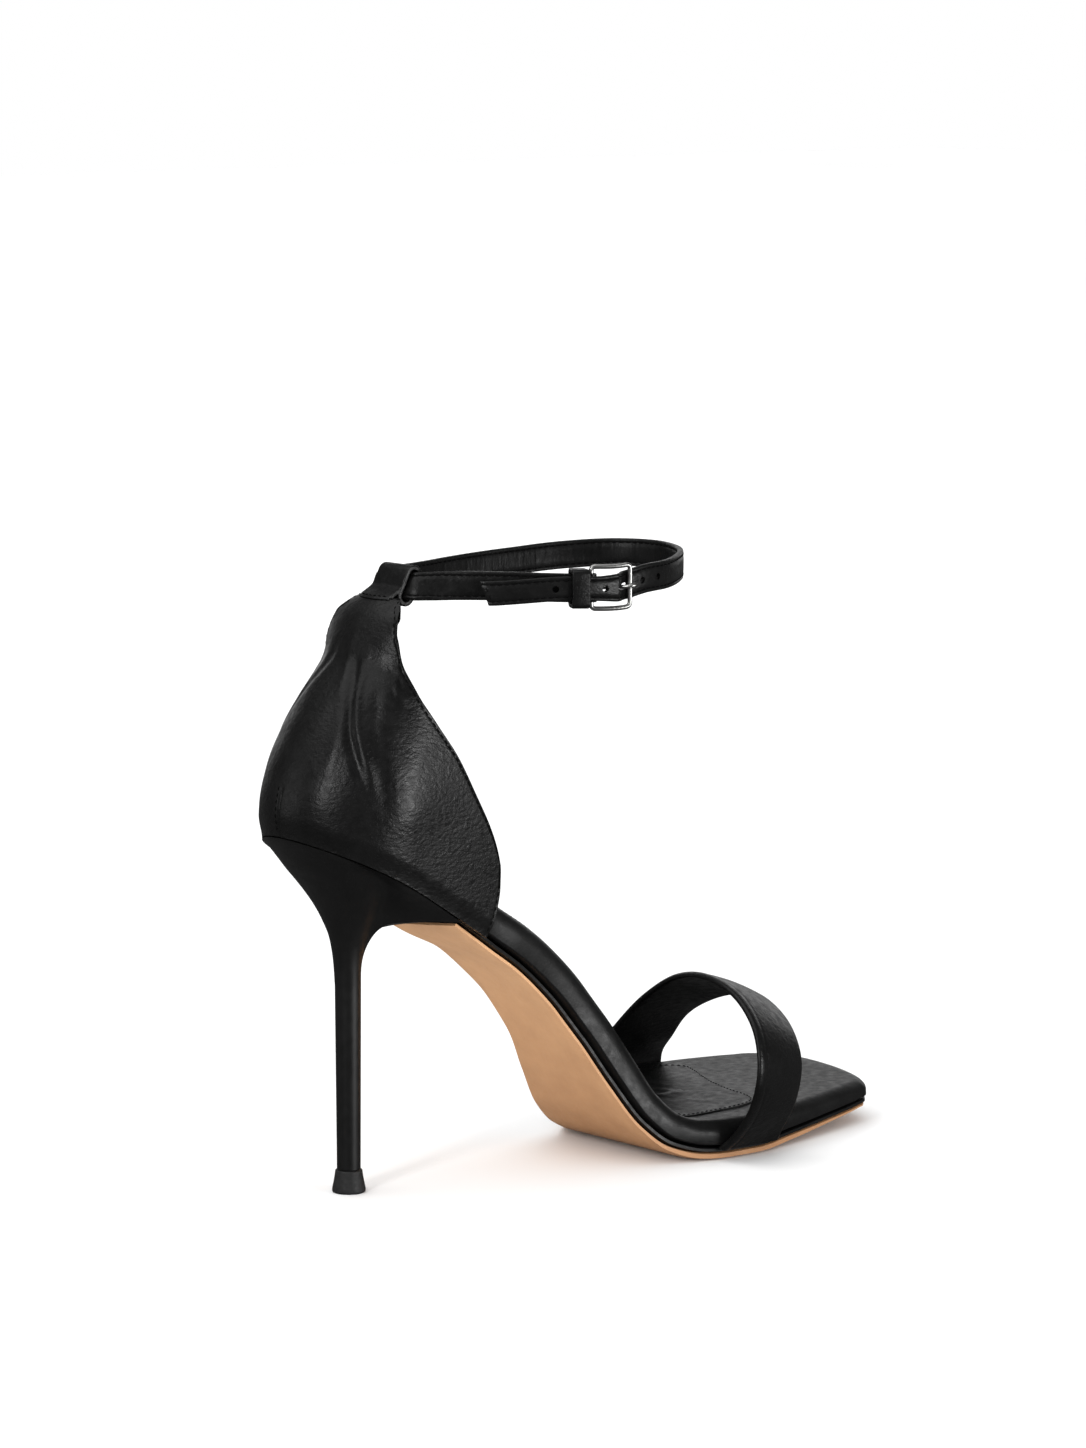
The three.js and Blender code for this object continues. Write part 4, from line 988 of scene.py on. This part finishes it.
def counter_skin(grid, side):
    """The outer face's offset: folds, the turned edge with its seam, and the dart at the back."""
    turn, up = grid[..., 0], grid[..., 1]
    flat = counter_plan(turn, up, side)
    to_edge = np.linalg.norm(flat - flat[:, -1:], axis=2)
    to_front = np.linalg.norm(flat - flat[-1:], axis=2)
    to_rim = np.minimum(to_edge, to_front)
    calm = ease(np.minimum(to_rim, to_edge) / 5)
    fold = fold_depth(turn, up) * calm * (1.0 if side < 0 else 0.45)
    seam = 0.15 * np.exp(-(((to_rim - 0.7) / 0.4) ** 2)) - 0.24 * np.exp(-(((to_rim - SEAM_INSET) / 0.32) ** 2))
    lip = -0.5 * np.exp(-((to_rim / 0.35) ** 2))
    arc = turn / ROUND_SHARE * 0.5 * np.pi * SEAT_WIDTH * 0.52
    dart = -0.5 * np.exp(-((arc / DART_HALF) ** 2)) * ease((DART_TOP - up) / 0.03)
    lap = 0.22 * np.exp(-((arc / 1.6) ** 2)) * ease((DART_TOP - up) / 0.05) * (1.0 if side < 0 else 0.0)
    return fold, seam + dart + lap * ease(arc / 0.3) + lip, to_rim


SEAM_INSET = 1.35


def add_counter():
    columns = []
    for side in (-1, 1):
        grid = counter_grid(side)
        turn, up = grid[..., 0], grid[..., 1]
        fold, skin, to_rim = counter_skin(grid, side)
        wall = UPPER_WALL * mix(0.72, 1, ease(to_rim / 4))
        outer = counter_point(turn, up, side, fold + skin)
        inner = counter_point(turn, up, side, fold - wall)
        rise = unit(outer[:, -1] - outer[:, -4])[:, None, :]
        half = (outer[:, -1:] - inner[:, -1:]) / 2
        middle = (outer[:, -1:] + inner[:, -1:]) / 2
        thick = np.linalg.norm(half, axis=2, keepdims=True)
        round_turns = np.radians([30, 60, 90, 120, 150])[None, :, None]
        rim = middle + half * np.cos(round_turns) + 0.7 * thick * rise * np.sin(round_turns)
        columns.append(np.concatenate([outer, rim, inner[:, ::-1]], axis=1))
    rings = np.concatenate([columns[0][1:][::-1], columns[1]])
    counter = lofted("counter_leather", rings, UPPER, node="counter", slot="upper_leather", sharp=70)
    # The rim faces get the lighter edge material: edge paint and a painted highlight along the rim.
    paint(counter, EDGE, rings.shape[1], range(COUNTER_ROWS + 2, COUNTER_ROWS + 5))


def add_counter_seams():
    for side, name in ((-1, "lateral"), (1, "medial")):
        grid = counter_grid(side)
        flat = counter_plan(grid[..., 0], grid[..., 1], side)
        pairs = []
        for run, line in zip(flat, grid):
            own = np.linalg.norm(run - run[-1], axis=1)[::-1]
            pairs.append([np.interp(SEAM_INSET, own, line[::-1, k]) for k in range(2)])
        corner = np.array(pairs[-4])
        own = np.linalg.norm(flat - flat[-1:], axis=2)[::-1]
        front = [[np.interp(SEAM_INSET, own[:, row], grid[::-1, row, k]) for k in range(2)]
                 for row in range(COUNTER_ROWS, 5, -1)]
        front = [pair for pair in front if pair[1] < corner[1] - 0.01]
        pairs = np.array(pairs[:-4] + front)
        turn, up = pairs[:, 0], pairs[:, 1]
        points = counter_point(turn, up, side, 0 * turn - 0.12)
        stitches(f"rim_seam_{name}", points, counter_normal(turn, up, side))
    ups = np.linspace(float(seam_up(np.array([0.0]), 1)[0]) + 0.02, DART_TOP - 0.005, 40)
    turns = 0 * ups + 1.3 / (0.5 * np.pi * SEAT_WIDTH * 0.52) * ROUND_SHARE
    stitches("dart_seam", counter_point(turns, ups, 1, 0 * ups), counter_normal(turns, ups, 1), 1.8)


LOOP_CENTRE = STRAP_TOP - STRAP_WIDTH / 2


def slab_section(half_thickness, half_width, rounding, steps=4):
    """A rounded rectangle, from the low outer corner up the outer face and down the inner one."""
    t, w = half_thickness - rounding, half_width - rounding
    corners = [(t, -w, -90), (t, w, 0), (-t, w, 90), (-t, -w, 180)]
    pairs = []
    for out, up, turn in corners:
        for angle in np.radians(np.linspace(turn, turn + 90, steps + 1)):
            pairs.append((out + rounding * math.cos(angle), up + rounding * math.sin(angle)))
    return np.array(pairs)


def loop_place(out, up):
    return (LOOP_SET + out * math.cos(LOOP_LEAN) + up * math.sin(LOOP_LEAN),
            LOOP_CENTRE - out * math.sin(LOOP_LEAN) + up * math.cos(LOOP_LEAN))


def strip(path, outs, half_width, thickness, rounding=0.35):
    """Rings of a flat strip whose width lies along Y: path and outs are pairs in the XZ plane."""
    section = slab_section(thickness / 2, half_width, rounding)
    rings = []
    for (x, z), (ox, oz) in zip(path, unit(np.asarray(outs, float))):
        rings.append(np.stack([x + section[:, 0] * ox, section[:, 1], z + section[:, 0] * oz], 1))
    return rings


def add_loop():
    hole_round = STRAP_THICKNESS / 2 + 2 * CLEARANCE
    hole_half = STRAP_WIDTH / 2 + 2 * CLEARANCE
    radius = hole_round + LOOP_WALL / 2
    path, outs = [], []
    for end in (1, -1):
        for angle in np.linspace(0, np.pi, 15):
            out, up = end * math.cos(angle), end * math.sin(angle)
            centre = end * (hole_half - hole_round)
            path.append(loop_place(out * radius, centre + up * radius))
            a, b = loop_place(out, up), loop_place(0, 0)
            outs.append((a[0] - b[0], a[1] - b[1]))
    lofted("loop_tab", strip(path, outs, LOOP_WIDTH / 2, LOOP_WALL), UPPER, closed=True)
    start = counter_point(np.array(0.0), np.array(0.89), 1, np.array(-UPPER_WALL * 0.8))[[0, 2]]
    end = np.array(loop_place(-0.5 * (STRAP_THICKNESS + LOOP_WALL), -STRAP_WIDTH / 2 - 0.6 * LOOP_WALL))
    bend = np.array([mix(start[0], end[0], 0.4), mix(start[1], end[1], 0.75)])
    shares = np.linspace(0, 1, 14)[:, None]
    line = (1 - shares) ** 2 * start + 2 * shares * (1 - shares) * bend + shares**2 * end
    along = np.gradient(line, axis=0)
    lofted("loop_stem", strip(line, np.stack([-along[:, 1], along[:, 0]], 1), LOOP_WIDTH / 2, LOOP_WALL), UPPER)


LAP_LOW = 0.985
LAP_THICKNESS = 0.9


def lap_path(y):
    """The tab's back face where it laps the counter's top, from its low edge up, at one place across."""
    half = SEAT_WIDTH * float(counter_half(LAP_LOW)) + COUNTER_BULGE
    turn = ROUND_SHARE * math.asin(min(1, abs(y) / half)) / (np.pi / 2)
    side = -1 if y < 0 else 1
    turns = np.array([turn, turn])
    low = counter_point(turns, np.array([LAP_LOW, 1.0]), side, np.array([0.30, 0.42]))
    radius = STRAP_THICKNESS / 2 + 2 * CLEARANCE + LOOP_WALL + 0.12
    high = [loop_place(-radius, up) for up in (-1.6, 0.2, 1.8)]
    route = [(low[0][0], low[0][2]), (low[1][0], low[1][2])] + high
    return evenly(spline(route, samples=12), 26)


def add_lap():
    rings, seam, outs = [], [], []
    for y in np.linspace(-LOOP_WIDTH / 2 + 0.1, LOOP_WIDTH / 2 - 0.1, 33):
        path = lap_path(y)
        along = unit(np.gradient(path, axis=0))
        out = np.stack([-along[:, 1], along[:, 0]], 1)
        thin = LAP_THICKNESS * np.sin(np.clip(lengths_along(path) / 0.45, 0.25, 1) * np.pi / 2)
        inner = path - out * thin[:, None]
        ring = np.concatenate([path, inner[::-1]])
        rings.append(np.stack([ring[:, 0], np.full(len(ring), y), ring[:, 1]], 1))
        place = at_lengths(path, [1.05])[0]
        seam.append((place[0], y, place[1]))
        outs.append((out[5, 0], 0, out[5, 1]))
    lofted("loop_lap", rings, UPPER, sharp=60)
    stitches("lap_seam", seam[2:-2], outs[2:-2], 2.0, 0.2)


BAND = table("rear_across rear_up rear_in front_across front_up front_out", [
    (-1.00, 0.010, 0.14, -1.000, 0.000, 0.000),
    (-1.08, 0.080, 0.20, -1.040, 0.070, 0.000),
    (-1.28, 0.290, 0.22, -1.180, 0.270, 0.000),
    (-1.37, 0.540, 0.18, -1.200, 0.500, 0.000),
    (-1.25, 0.765, 0.15, -1.020, 0.670, 0.000),
    (-0.94, 0.935, 0.12, -0.620, 0.775, 0.000),
    (-0.52, 1.010, 0.05, -0.170, 0.760, 0.000),
    (-0.10, 0.960, 0.02, 0.280, 0.640, 0.010),
    (0.32, 0.765, 0.00, 0.640, 0.475, 0.060),
    (0.68, 0.505, 0.00, 0.860, 0.300, 0.110),
    (0.96, 0.260, 0.00, 1.030, 0.160, 0.155),
    (1.02, 0.090, 0.00, 1.045, 0.070, 0.175),
    (1.02, 0.010, 0.00, 1.030, 0.000, 0.175),
])


def band_edge_point(across, up, start):
    side = -1 if across < 0 else 1
    height = BAND_RISE * up
    x, y = start, 0.0
    for _ in range(6):
        y = abs(across) * (float(pad_edge(x, side)) + side * CLEARANCE)
        x = start + (y + BALL_WIDTH / 2) * math.tan(BAND_SKEW) + height * math.tan(BAND_LEAN)
    return (x, y, float(bottom_height(x)) + BOARD_THICKNESS + CLEARANCE + height)


def band_edges(count):
    rear = [band_edge_point(a, u, BAND_SET + BAND_WIDTH * i)
            for a, u, i in zip(BAND["rear_across"], BAND["rear_up"], BAND["rear_in"])]
    front = [band_edge_point(a, u, BAND_SET + BAND_WIDTH * (1 + o))
             for a, u, o in zip(BAND["front_across"], BAND["front_up"], BAND["front_out"])]
    return evenly(spline(rear), count), evenly(spline(front), count)


def band_surface(steps=150, across=44):
    """Points and outward normals of the band's inner form, by step over the foot and across its width."""
    rear, front = band_edges(steps + 1)
    shares = np.linspace(0, 1, across + 1)
    grid = mix(rear[:, None, :], front[:, None, :], shares[None, :, None])
    normal = unit(np.cross(np.gradient(grid, axis=1), np.gradient(grid, axis=0)))
    over = np.sin(np.pi * np.linspace(0, 1, steps + 1))[:, None]
    arch = 0.8 * over * np.sin(np.pi * shares)[None, :]
    return grid + normal * arch[..., None], normal, shares * np.linalg.norm(front - rear, axis=1)[:, None]


def add_band():
    grid, normal, from_rear = band_surface()
    width = from_rear[:, -1:]
    to_edge = np.minimum(from_rear, width - from_rear)
    skin = UPPER_WALL - 0.55 * np.exp(-to_edge / 0.5)
    skin = skin - 0.16 * np.exp(-(((from_rear - 3.4) / 0.35) ** 2)) + 0.10 * np.exp(-(((from_rear - 1.7) / 1.0) ** 2))
    low = 0.45 * np.exp(-to_edge / 0.5)
    outer = grid + normal * skin[..., None]
    inner = grid + normal * low[..., None]
    rings = np.concatenate([outer, inner[:, ::-1]], axis=1)
    lofted("band_leather", rings, UPPER, node="vamp_band", slot="upper_leather", sharp=70)


# Ankle strap

STRAP_ROUTE = table("forward side lift", [
    (0.000, 0.000, 0),
    (0.000, -0.085, 0),
    (0.000, -0.130, 0),
    (0.030, -0.172, 0),
    (0.075, -0.222, 0),
    (0.135, -0.300, -0.01),
    (0.215, -0.405, -0.05),
    (0.305, -0.505, -0.125),
    (0.410, -0.600, -0.20),
    (0.515, -0.645, -0.23),
    (0.620, -0.645, -0.07),
    (0.725, -0.600, -0.06),
    (0.825, -0.500, -0.03),
    (0.910, -0.370, 0),
    (0.970, -0.210, 0),
    (1.000, -0.040, 0),
    (0.982, 0.105, 0),
    (0.928, 0.215, 0),
    (0.848, 0.292, -0.02),
    (0.760, 0.340, -0.05),
    (0.630, 0.350, -0.08),
    (0.490, 0.345, -0.10),
    (0.360, 0.320, -0.12),
    (0.240, 0.270, -0.12),
    (0.130, 0.215, -0.08),
    (0.065, 0.186, -0.03),
    (0.025, 0.163, 0),
    (0.000, 0.130, 0),
    (0.000, 0.085, 0),
])
route = np.stack([
    LOOP_SET + ANKLE_LENGTH * STRAP_ROUTE["forward"],
    ANKLE_WIDTH * STRAP_ROUTE["side"],
    LOOP_CENTRE + STRAP_WIDTH * STRAP_ROUTE["lift"] + STRAP_PITCH * ANKLE_LENGTH * STRAP_ROUTE["forward"]], 1)
route_points = spline(route, closed=True)
route_lengths = lengths_along(route_points)
GIRTH = route_lengths[-1]


def on_route(place):
    place = np.mod(place, GIRTH)
    return np.stack([np.interp(place, route_lengths, route_points[:, k]) for k in range(3)], -1)


def strap_frame(distance):
    """Base, outward face and upward direction of the strap, by distance past the hinge bar."""
    place = BUCKLE_SET + np.asarray(distance, float)
    base = on_route(place)
    along = unit(on_route(place + 0.8) - on_route(place - 0.8))
    out = unit(np.stack([along[..., 1], -along[..., 0], 0 * along[..., 0]], -1))
    lean = (1 - ease((base[..., 0] - LOOP_SET) / LOOP_WIDTH))[..., None] * LOOP_LEAN
    z = np.array([0, 0, 1.0])
    return base, out * np.cos(lean) + z * np.sin(lean), z * np.cos(lean) - out * np.sin(lean)


def strap_place(distance, level, height):
    base, face, up = strap_frame(distance)
    return base + face * np.asarray(level, float)[..., None] + up * np.asarray(height, float)[..., None]


STRAP_HALF = STRAP_THICKNESS / 2
FREE_LEVEL = STRAP_THICKNESS + OVERLAP_GAP
HINGE_LEVEL = -0.6
HINGE_CLEAR = BUCKLE_WIRE / 2 + CLEARANCE
BARREL_RADIUS = HINGE_CLEAR + 0.6
BAR_LENGTH = BUCKLE_LENGTH - BUCKLE_WIRE
TIP_BAR_LEVEL = STRAP_HALF + CLEARANCE + BUCKLE_WIRE / 2
RAMP_START = 6.4
RAMP_END = BAR_LENGTH - BUCKLE_WIRE / 2 - CLEARANCE
KEEPER_END = -BARREL_RADIUS - CLEARANCE
KEEPER_START = KEEPER_END - KEEPER_LENGTH
SLOT_HALF = 2.5
SLOT_SET = HOLE_SET + HOLE_PITCH - 0.5


def tail_level(distance):
    return FREE_LEVEL * (1 - ease((distance - RAMP_START) / (RAMP_END - RAMP_START)))


def tail_fall(distance):
    return -TAIL_DROP * ease((KEEPER_START - distance) / (TAIL_LENGTH + KEEPER_START))


def strap_half_width(distance):
    return mix(STRAP_WIDTH, TAIL_WIDTH, ease((RAMP_END - distance) / RAMP_END)) / 2


STRAP_SEAM = 1.15


def strap_section(half_width):
    """The strap's section: rounded edges, with a shallow channel for each seam on both faces."""
    w = half_width
    channel = [(w - 1.55, 0), (w - STRAP_SEAM, -0.26), (w - 0.8, 0)]
    face = [(-b, a) for b, a in reversed(channel)] + [(-w / 3, 0.07), (w / 3, 0.07)] + channel
    corner = slab_section(STRAP_HALF, w, 0.5, 3)
    outer = list(corner[:4]) + [(STRAP_HALF + a, b) for b, a in face] + list(corner[4:8])
    inner = list(corner[8:12]) + [(-STRAP_HALF - a, b) for b, a in reversed(face)] + list(corner[12:])
    return np.array(outer + inner)


def cylinder_cutter(centre, half_long, low, high):
    turn = np.linspace(0, 2 * np.pi, 24, endpoint=False)
    a, b = half_long * np.cos(turn), HOLE_RADIUS * np.sin(turn)
    rings = [strap_place(centre + a, 0 * a + level, tail_fall(centre) + b) for level in (low, high)]
    points = np.concatenate(rings)
    mesh = bpy.data.meshes.new("cutter")
    mesh.from_pydata((points * MM).tolist(), [], facing_out(points, ring_faces(2, 24)))
    cutter = bpy.data.objects.new("cutter", mesh)
    bpy.context.scene.collection.objects.link(cutter)
    return cutter


def cut_away(piece, cutters):
    for cutter in cutters:
        modifier = piece.modifiers.new("cut", "BOOLEAN")
        modifier.object = cutter
        modifier.operation = "DIFFERENCE"
        modifier.solver = "EXACT"
    graph = bpy.context.evaluated_depsgraph_get()
    cut = bpy.data.meshes.new_from_object(piece.evaluated_get(graph))
    piece.modifiers.clear()
    piece.data = cut
    piece.data.set_sharp_from_angle(angle=math.radians(50))
    for cutter in cutters:
        bpy.data.objects.remove(cutter)


def add_ankle_strap():
    end = GIRTH - HINGE_CLEAR - 0.3
    distances = np.concatenate([
        np.linspace(-TAIL_LENGTH, RAMP_START, 50),
        np.linspace(RAMP_START, RAMP_END, 14)[1:],
        np.linspace(RAMP_END, end, 300)[1:]])
    rings = []
    for distance in distances:
        section = strap_section(strap_half_width(distance))
        past_tip = distance + TAIL_LENGTH
        slant = -TIP_SLANT * max(0.0, 1 - past_tip / 6) * section[:, 1] / (STRAP_WIDTH / 2)
        thin = mix(0.55, 1, ease(past_tip / 0.8 + 0.2))
        level = tail_level(distance) + section[:, 0] * thin
        rings.append(strap_place(distance + slant, level, tail_fall(distance) + section[:, 1]))
    strap = lofted("strap_leather", rings, UPPER, node="ankle_strap", slot="upper_leather")
    section = strap_section(STRAP_WIDTH / 2)
    middles = (section + np.roll(section, -1, axis=0)) / 2
    paint(strap, STRAP_LINING, len(section), np.nonzero(middles[:, 0] < -0.8 * STRAP_HALF)[0])
    depth = STRAP_HALF + CLEARANCE
    cutters = []
    for number in (-2, -1, 0, 2, 3):
        centre = HOLE_SET + number * HOLE_PITCH
        cutters.append(cylinder_cutter(centre, HOLE_RADIUS, tail_level(centre) - depth, tail_level(centre) + depth))
    cutters.append(cylinder_cutter(SLOT_SET, SLOT_HALF, -depth, FREE_LEVEL + depth))
    cut_away(strap, cutters)


def strap_row(name, distances, inset, outer, pitch=2.1):
    """A row of stitches on the strap: inset from its upper edge when positive, from its lower when negative."""
    half = strap_half_width(distances)
    height = np.copysign(half - abs(inset), inset)
    level = tail_level(distances) + (STRAP_HALF if outer else -STRAP_HALF) - (0.16 if outer else -0.16)
    points = strap_place(distances, level, tail_fall(distances) + height)
    out = strap_frame(distances)[1]
    stitches(name, points, out if outer else -out, pitch, 0.2)


def add_strap_seams():
    tail = np.linspace(-TAIL_LENGTH + 1.2, KEEPER_START - 0.6, 60)
    middle = np.linspace(KEEPER_END + 0.6, BAR_LENGTH - 2.2, 30)
    rest = np.linspace(BAR_LENGTH + 1.2, GIRTH + KEEPER_START - 0.5, 500)
    for outer, face in ((True, "out"), (False, "in")):
        for inset, edge in ((STRAP_SEAM, "upper"), (-STRAP_SEAM, "lower")):
            strap_row(f"tail_seam_{edge}_{face}", tail, inset, outer)
            strap_row(f"strap_seam_{edge}_{face}", rest, inset, outer)
            if outer:
                strap_row(f"buckle_seam_{edge}", middle, inset, outer)
    heights = np.linspace(-STRAP_WIDTH / 2 + 1.6, STRAP_WIDTH / 2 - 1.6, 12)
    distances = -TAIL_LENGTH + STRAP_SEAM - TIP_SLANT * heights / (STRAP_WIDTH / 2)
    points = strap_place(distances, FREE_LEVEL + STRAP_HALF - 0.04, tail_fall(distances) + heights * 0.85)
    stitches("tip_seam", points, strap_frame(distances)[1], 2.0, 0.2)


def around_hinge(a, b, height):
    return strap_place(a, HINGE_LEVEL + b, height)


def hinge_ring(low, high, inner, outer, rounding=0.2):
    section = slab_section((outer - inner) / 2, (high - low) / 2, rounding, 3)
    middle, centre = (outer + inner) / 2, (high + low) / 2
    turn = np.linspace(0, 2 * np.pi, 36, endpoint=False)
    return [around_hinge((middle + section[:, 0]) * math.cos(a), (middle + section[:, 0]) * math.sin(a),
                         centre + section[:, 1]) for a in turn]


KNUCKLE_HALF = 0.9


def add_strap_folds():
    inside, top = KNUCKLE_HALF + CLEARANCE, STRAP_WIDTH / 2
    for name, low, high in (("strap_fold_upper", inside, top), ("strap_fold_lower", -top, -inside)):
        lofted(name, hinge_ring(low, high, HINGE_CLEAR, BARREL_RADIUS), UPPER, closed=True)


def add_keeper():
    low = -STRAP_HALF - CLEARANCE
    high = FREE_LEVEL + STRAP_HALF + CLEARANCE
    half = STRAP_WIDTH / 2 + CLEARANCE
    round_inner = 0.45
    corners = [(high, half, 0), (low, half, 90), (low, -half, 180), (high, -half, 270)]
    section = slab_section(KEEPER_WALL / 2, KEEPER_LENGTH / 2, 0.35)
    centre = (KEEPER_START + KEEPER_END) / 2
    rings = []
    for level, height, turn in corners:
        level -= math.copysign(round_inner, level)
        height -= math.copysign(round_inner, height)
        for angle in np.radians(np.linspace(turn, turn + 90, 9)):
            radius = round_inner + KEEPER_WALL / 2 + section[:, 0]
            rings.append(strap_place(centre + section[:, 1], level + radius * math.cos(angle),
                                     height + radius * math.sin(angle)))
    lofted("keeper_leather", rings, UPPER, closed=True, node="strap_keeper", slot="upper_leather")


def wire(points, radii, sides, closed=False):
    points = np.asarray(points, float)
    count = len(points)
    normal = np.array([0.13, 0.31, 0.94])
    turn = np.linspace(0, 2 * np.pi, sides, endpoint=False)
    rings = []
    for i in range(count):
        before = points[(i - 1) % count] if closed else points[max(0, i - 1)]
        after = points[(i + 1) % count] if closed else points[min(count - 1, i + 1)]
        along = unit(after - before)
        normal = unit(normal - along * np.dot(normal, along))
        other = np.cross(along, normal)
        rings.append(points[i] + radii[i] * (np.cos(turn)[:, None] * normal + np.sin(turn)[:, None] * other))
    return rings


def add_buckle():
    half = (BUCKLE_HEIGHT - BUCKLE_WIRE) / 2
    rounding = 1.1
    near, far = rounding, BAR_LENGTH - rounding
    corners = [(near, rounding - half, 180), (far, rounding - half, 270),
               (far, half - rounding, 0), (near, half - rounding, 90)]
    flat = []
    for distance, height, turn in corners:
        for angle in np.radians(np.linspace(turn, turn + 90, 9)):
            flat.append((distance + rounding * math.cos(angle), height + rounding * math.sin(angle)))
    flat = evenly(np.array(flat + flat[:1]), 121)[:-1]
    level = mix(HINGE_LEVEL, TIP_BAR_LEVEL, flat[:, 0] / BAR_LENGTH)
    points = strap_place(flat[:, 0], level, flat[:, 1])
    lofted("buckle_wire", wire(points, np.full(len(points), BUCKLE_WIRE / 2), 20, True), METAL, closed=True,
           node="buckle_frame", slot="buckle_metal")


def add_prong():
    radius = PRONG_WIRE / 2
    rest = TIP_BAR_LEVEL + BUCKLE_WIRE / 2 + CLEARANCE + radius
    under = FREE_LEVEL - STRAP_HALF - CLEARANCE - radius - 0.05
    path = [
        (HINGE_CLEAR + 0.3, HINGE_LEVEL),
        (SLOT_SET - 2 * SLOT_HALF, mix(HINGE_LEVEL, under, 0.7)),
        (SLOT_SET - SLOT_HALF + 0.3, under),
        (SLOT_SET - 1, mix(under, rest, 0.2)),
        (SLOT_SET + 0.1, mix(under, rest, 0.6)),
        (BAR_LENGTH - 1.1, rest - 0.4),
        (BAR_LENGTH - 0.4, rest),
        (BAR_LENGTH + 1.0, rest),
    ]
    flat = evenly(spline(path), 60)
    points = strap_place(flat[:, 0], flat[:, 1], 0 * flat[:, 0])
    end = lengths_along(points)[-1] - lengths_along(points)
    radii = radius * np.sqrt(np.clip(1 - (1 - np.minimum(end / radius, 1)) ** 2, 0.04, 1))
    lofted("prong_pin", wire(points, radii, 16), METAL, node="buckle_prong", slot="buckle_metal")
    knuckle = hinge_ring(-KNUCKLE_HALF, KNUCKLE_HALF, HINGE_CLEAR, BARREL_RADIUS)
    lofted("prong_knuckle", knuckle, METAL, closed=True)


# Floor, light and camera

def add_floor():
    n = Nodes("pale_floor")
    n.colours(n.ramp(n.noise(400, 2), 0, 1, 0.3, 0.7), (0.90, 0.90, 0.90), (0.93, 0.93, 0.93))
    n.finish(Roughness=0.75, Specular_IOR_Level=0.2)
    size = 6.0
    mesh = bpy.data.meshes.new("floor")
    corners = [(-size, -size, 0), (size, -size, 0), (size, size, 0), (-size, size, 0)]
    mesh.from_pydata(corners, [], [(0, 1, 2, 3)])
    mesh.materials.append(n.material)
    floor = bpy.data.objects.new("floor", mesh)
    bpy.context.scene.collection.objects.link(floor)
    floor.visible_glossy = False


def add_area(name, place, size, power):
    light = bpy.data.lights.new(name, "AREA")
    light.shape = "RECTANGLE"
    light.size, light.size_y = size
    light.energy = power
    lamp = bpy.data.objects.new(name, light)
    lamp.location = place
    lamp.rotation_euler = (Vector(LIGHT_AIM) - Vector(place)).to_track_quat("-Z", "Y").to_euler()
    lamp.visible_camera = False
    bpy.context.scene.collection.objects.link(lamp)


WORLD_SEEN = 1.0
WORLD_LIGHT = 0.80
WORLD_MIRROR = 0.09
OVERHEAD_LIGHT = 1.30
LIGHT_AIM = (0.06, 0.0, 0.1)


def add_light():
    world = bpy.data.worlds.new("studio")
    world.use_nodes = True
    tree = world.node_tree
    background = tree.nodes["Background"]
    background.inputs["Color"].default_value = (1, 1, 1, 1)
    rays = tree.nodes.new("ShaderNodeLightPath")
    strength = tree.nodes.new("ShaderNodeMix")
    strength.inputs["A"].default_value = WORLD_LIGHT
    strength.inputs["B"].default_value = WORLD_MIRROR
    seen = tree.nodes.new("ShaderNodeMix")
    seen.inputs["B"].default_value = WORLD_SEEN
    tree.links.new(rays.outputs["Is Glossy Ray"], strength.inputs["Factor"])
    tree.links.new(strength.outputs["Result"], seen.inputs["A"])
    tree.links.new(rays.outputs["Is Camera Ray"], seen.inputs["Factor"])
    tree.links.new(seen.outputs["Result"], background.inputs["Strength"])
    bpy.context.scene.world = world
    bpy.context.scene.view_settings.view_transform = "Standard"
    sun = bpy.data.lights.new("overhead", "SUN")
    sun.energy = OVERHEAD_LIGHT
    sun.angle = math.radians(70)
    lamp = bpy.data.objects.new("overhead", sun)
    lamp.rotation_euler = (math.radians(-8), math.radians(-14), 0)
    bpy.context.scene.collection.objects.link(lamp)
    add_area("side_box", (0.54, -1.32, 0.17), (0.7, 0.34), 12)
    add_area("left_box", (-1.25, -0.5, 0.7), (0.22, 0.7), 8)
    add_area("rear_box", (-1.1, 0.8, 0.35), (0.3, 0.7), 1.1)
    add_area("back_card", (1.15, 1.35, 0.42), (2.4, 0.7), 4.6)


def add_camera():
    data = bpy.data.cameras.new("photo_camera")
    data.lens = CAMERA_LENS
    data.sensor_width = 36
    camera = bpy.data.objects.new("photo_camera", data)
    back = -Vector(CAMERA_AIM).normalized()
    right = Vector((0, 0, 1)).cross(back).normalized()
    turn = Matrix((right, back.cross(right), back)).transposed()
    camera.matrix_world = Matrix.Translation(CAMERA_PLACE) @ turn.to_4x4()
    bpy.context.scene.collection.objects.link(camera)
    bpy.context.scene.camera = camera


add_outsole()
add_board()
add_footbed()
add_heel()
add_heel_tip()
add_sock()
add_counter()
add_counter_seams()
add_loop()
add_lap()
add_band()
add_ankle_strap()
add_strap_seams()
add_strap_folds()
add_keeper()
add_buckle()
add_prong()
add_floor()
add_light()
add_camera()
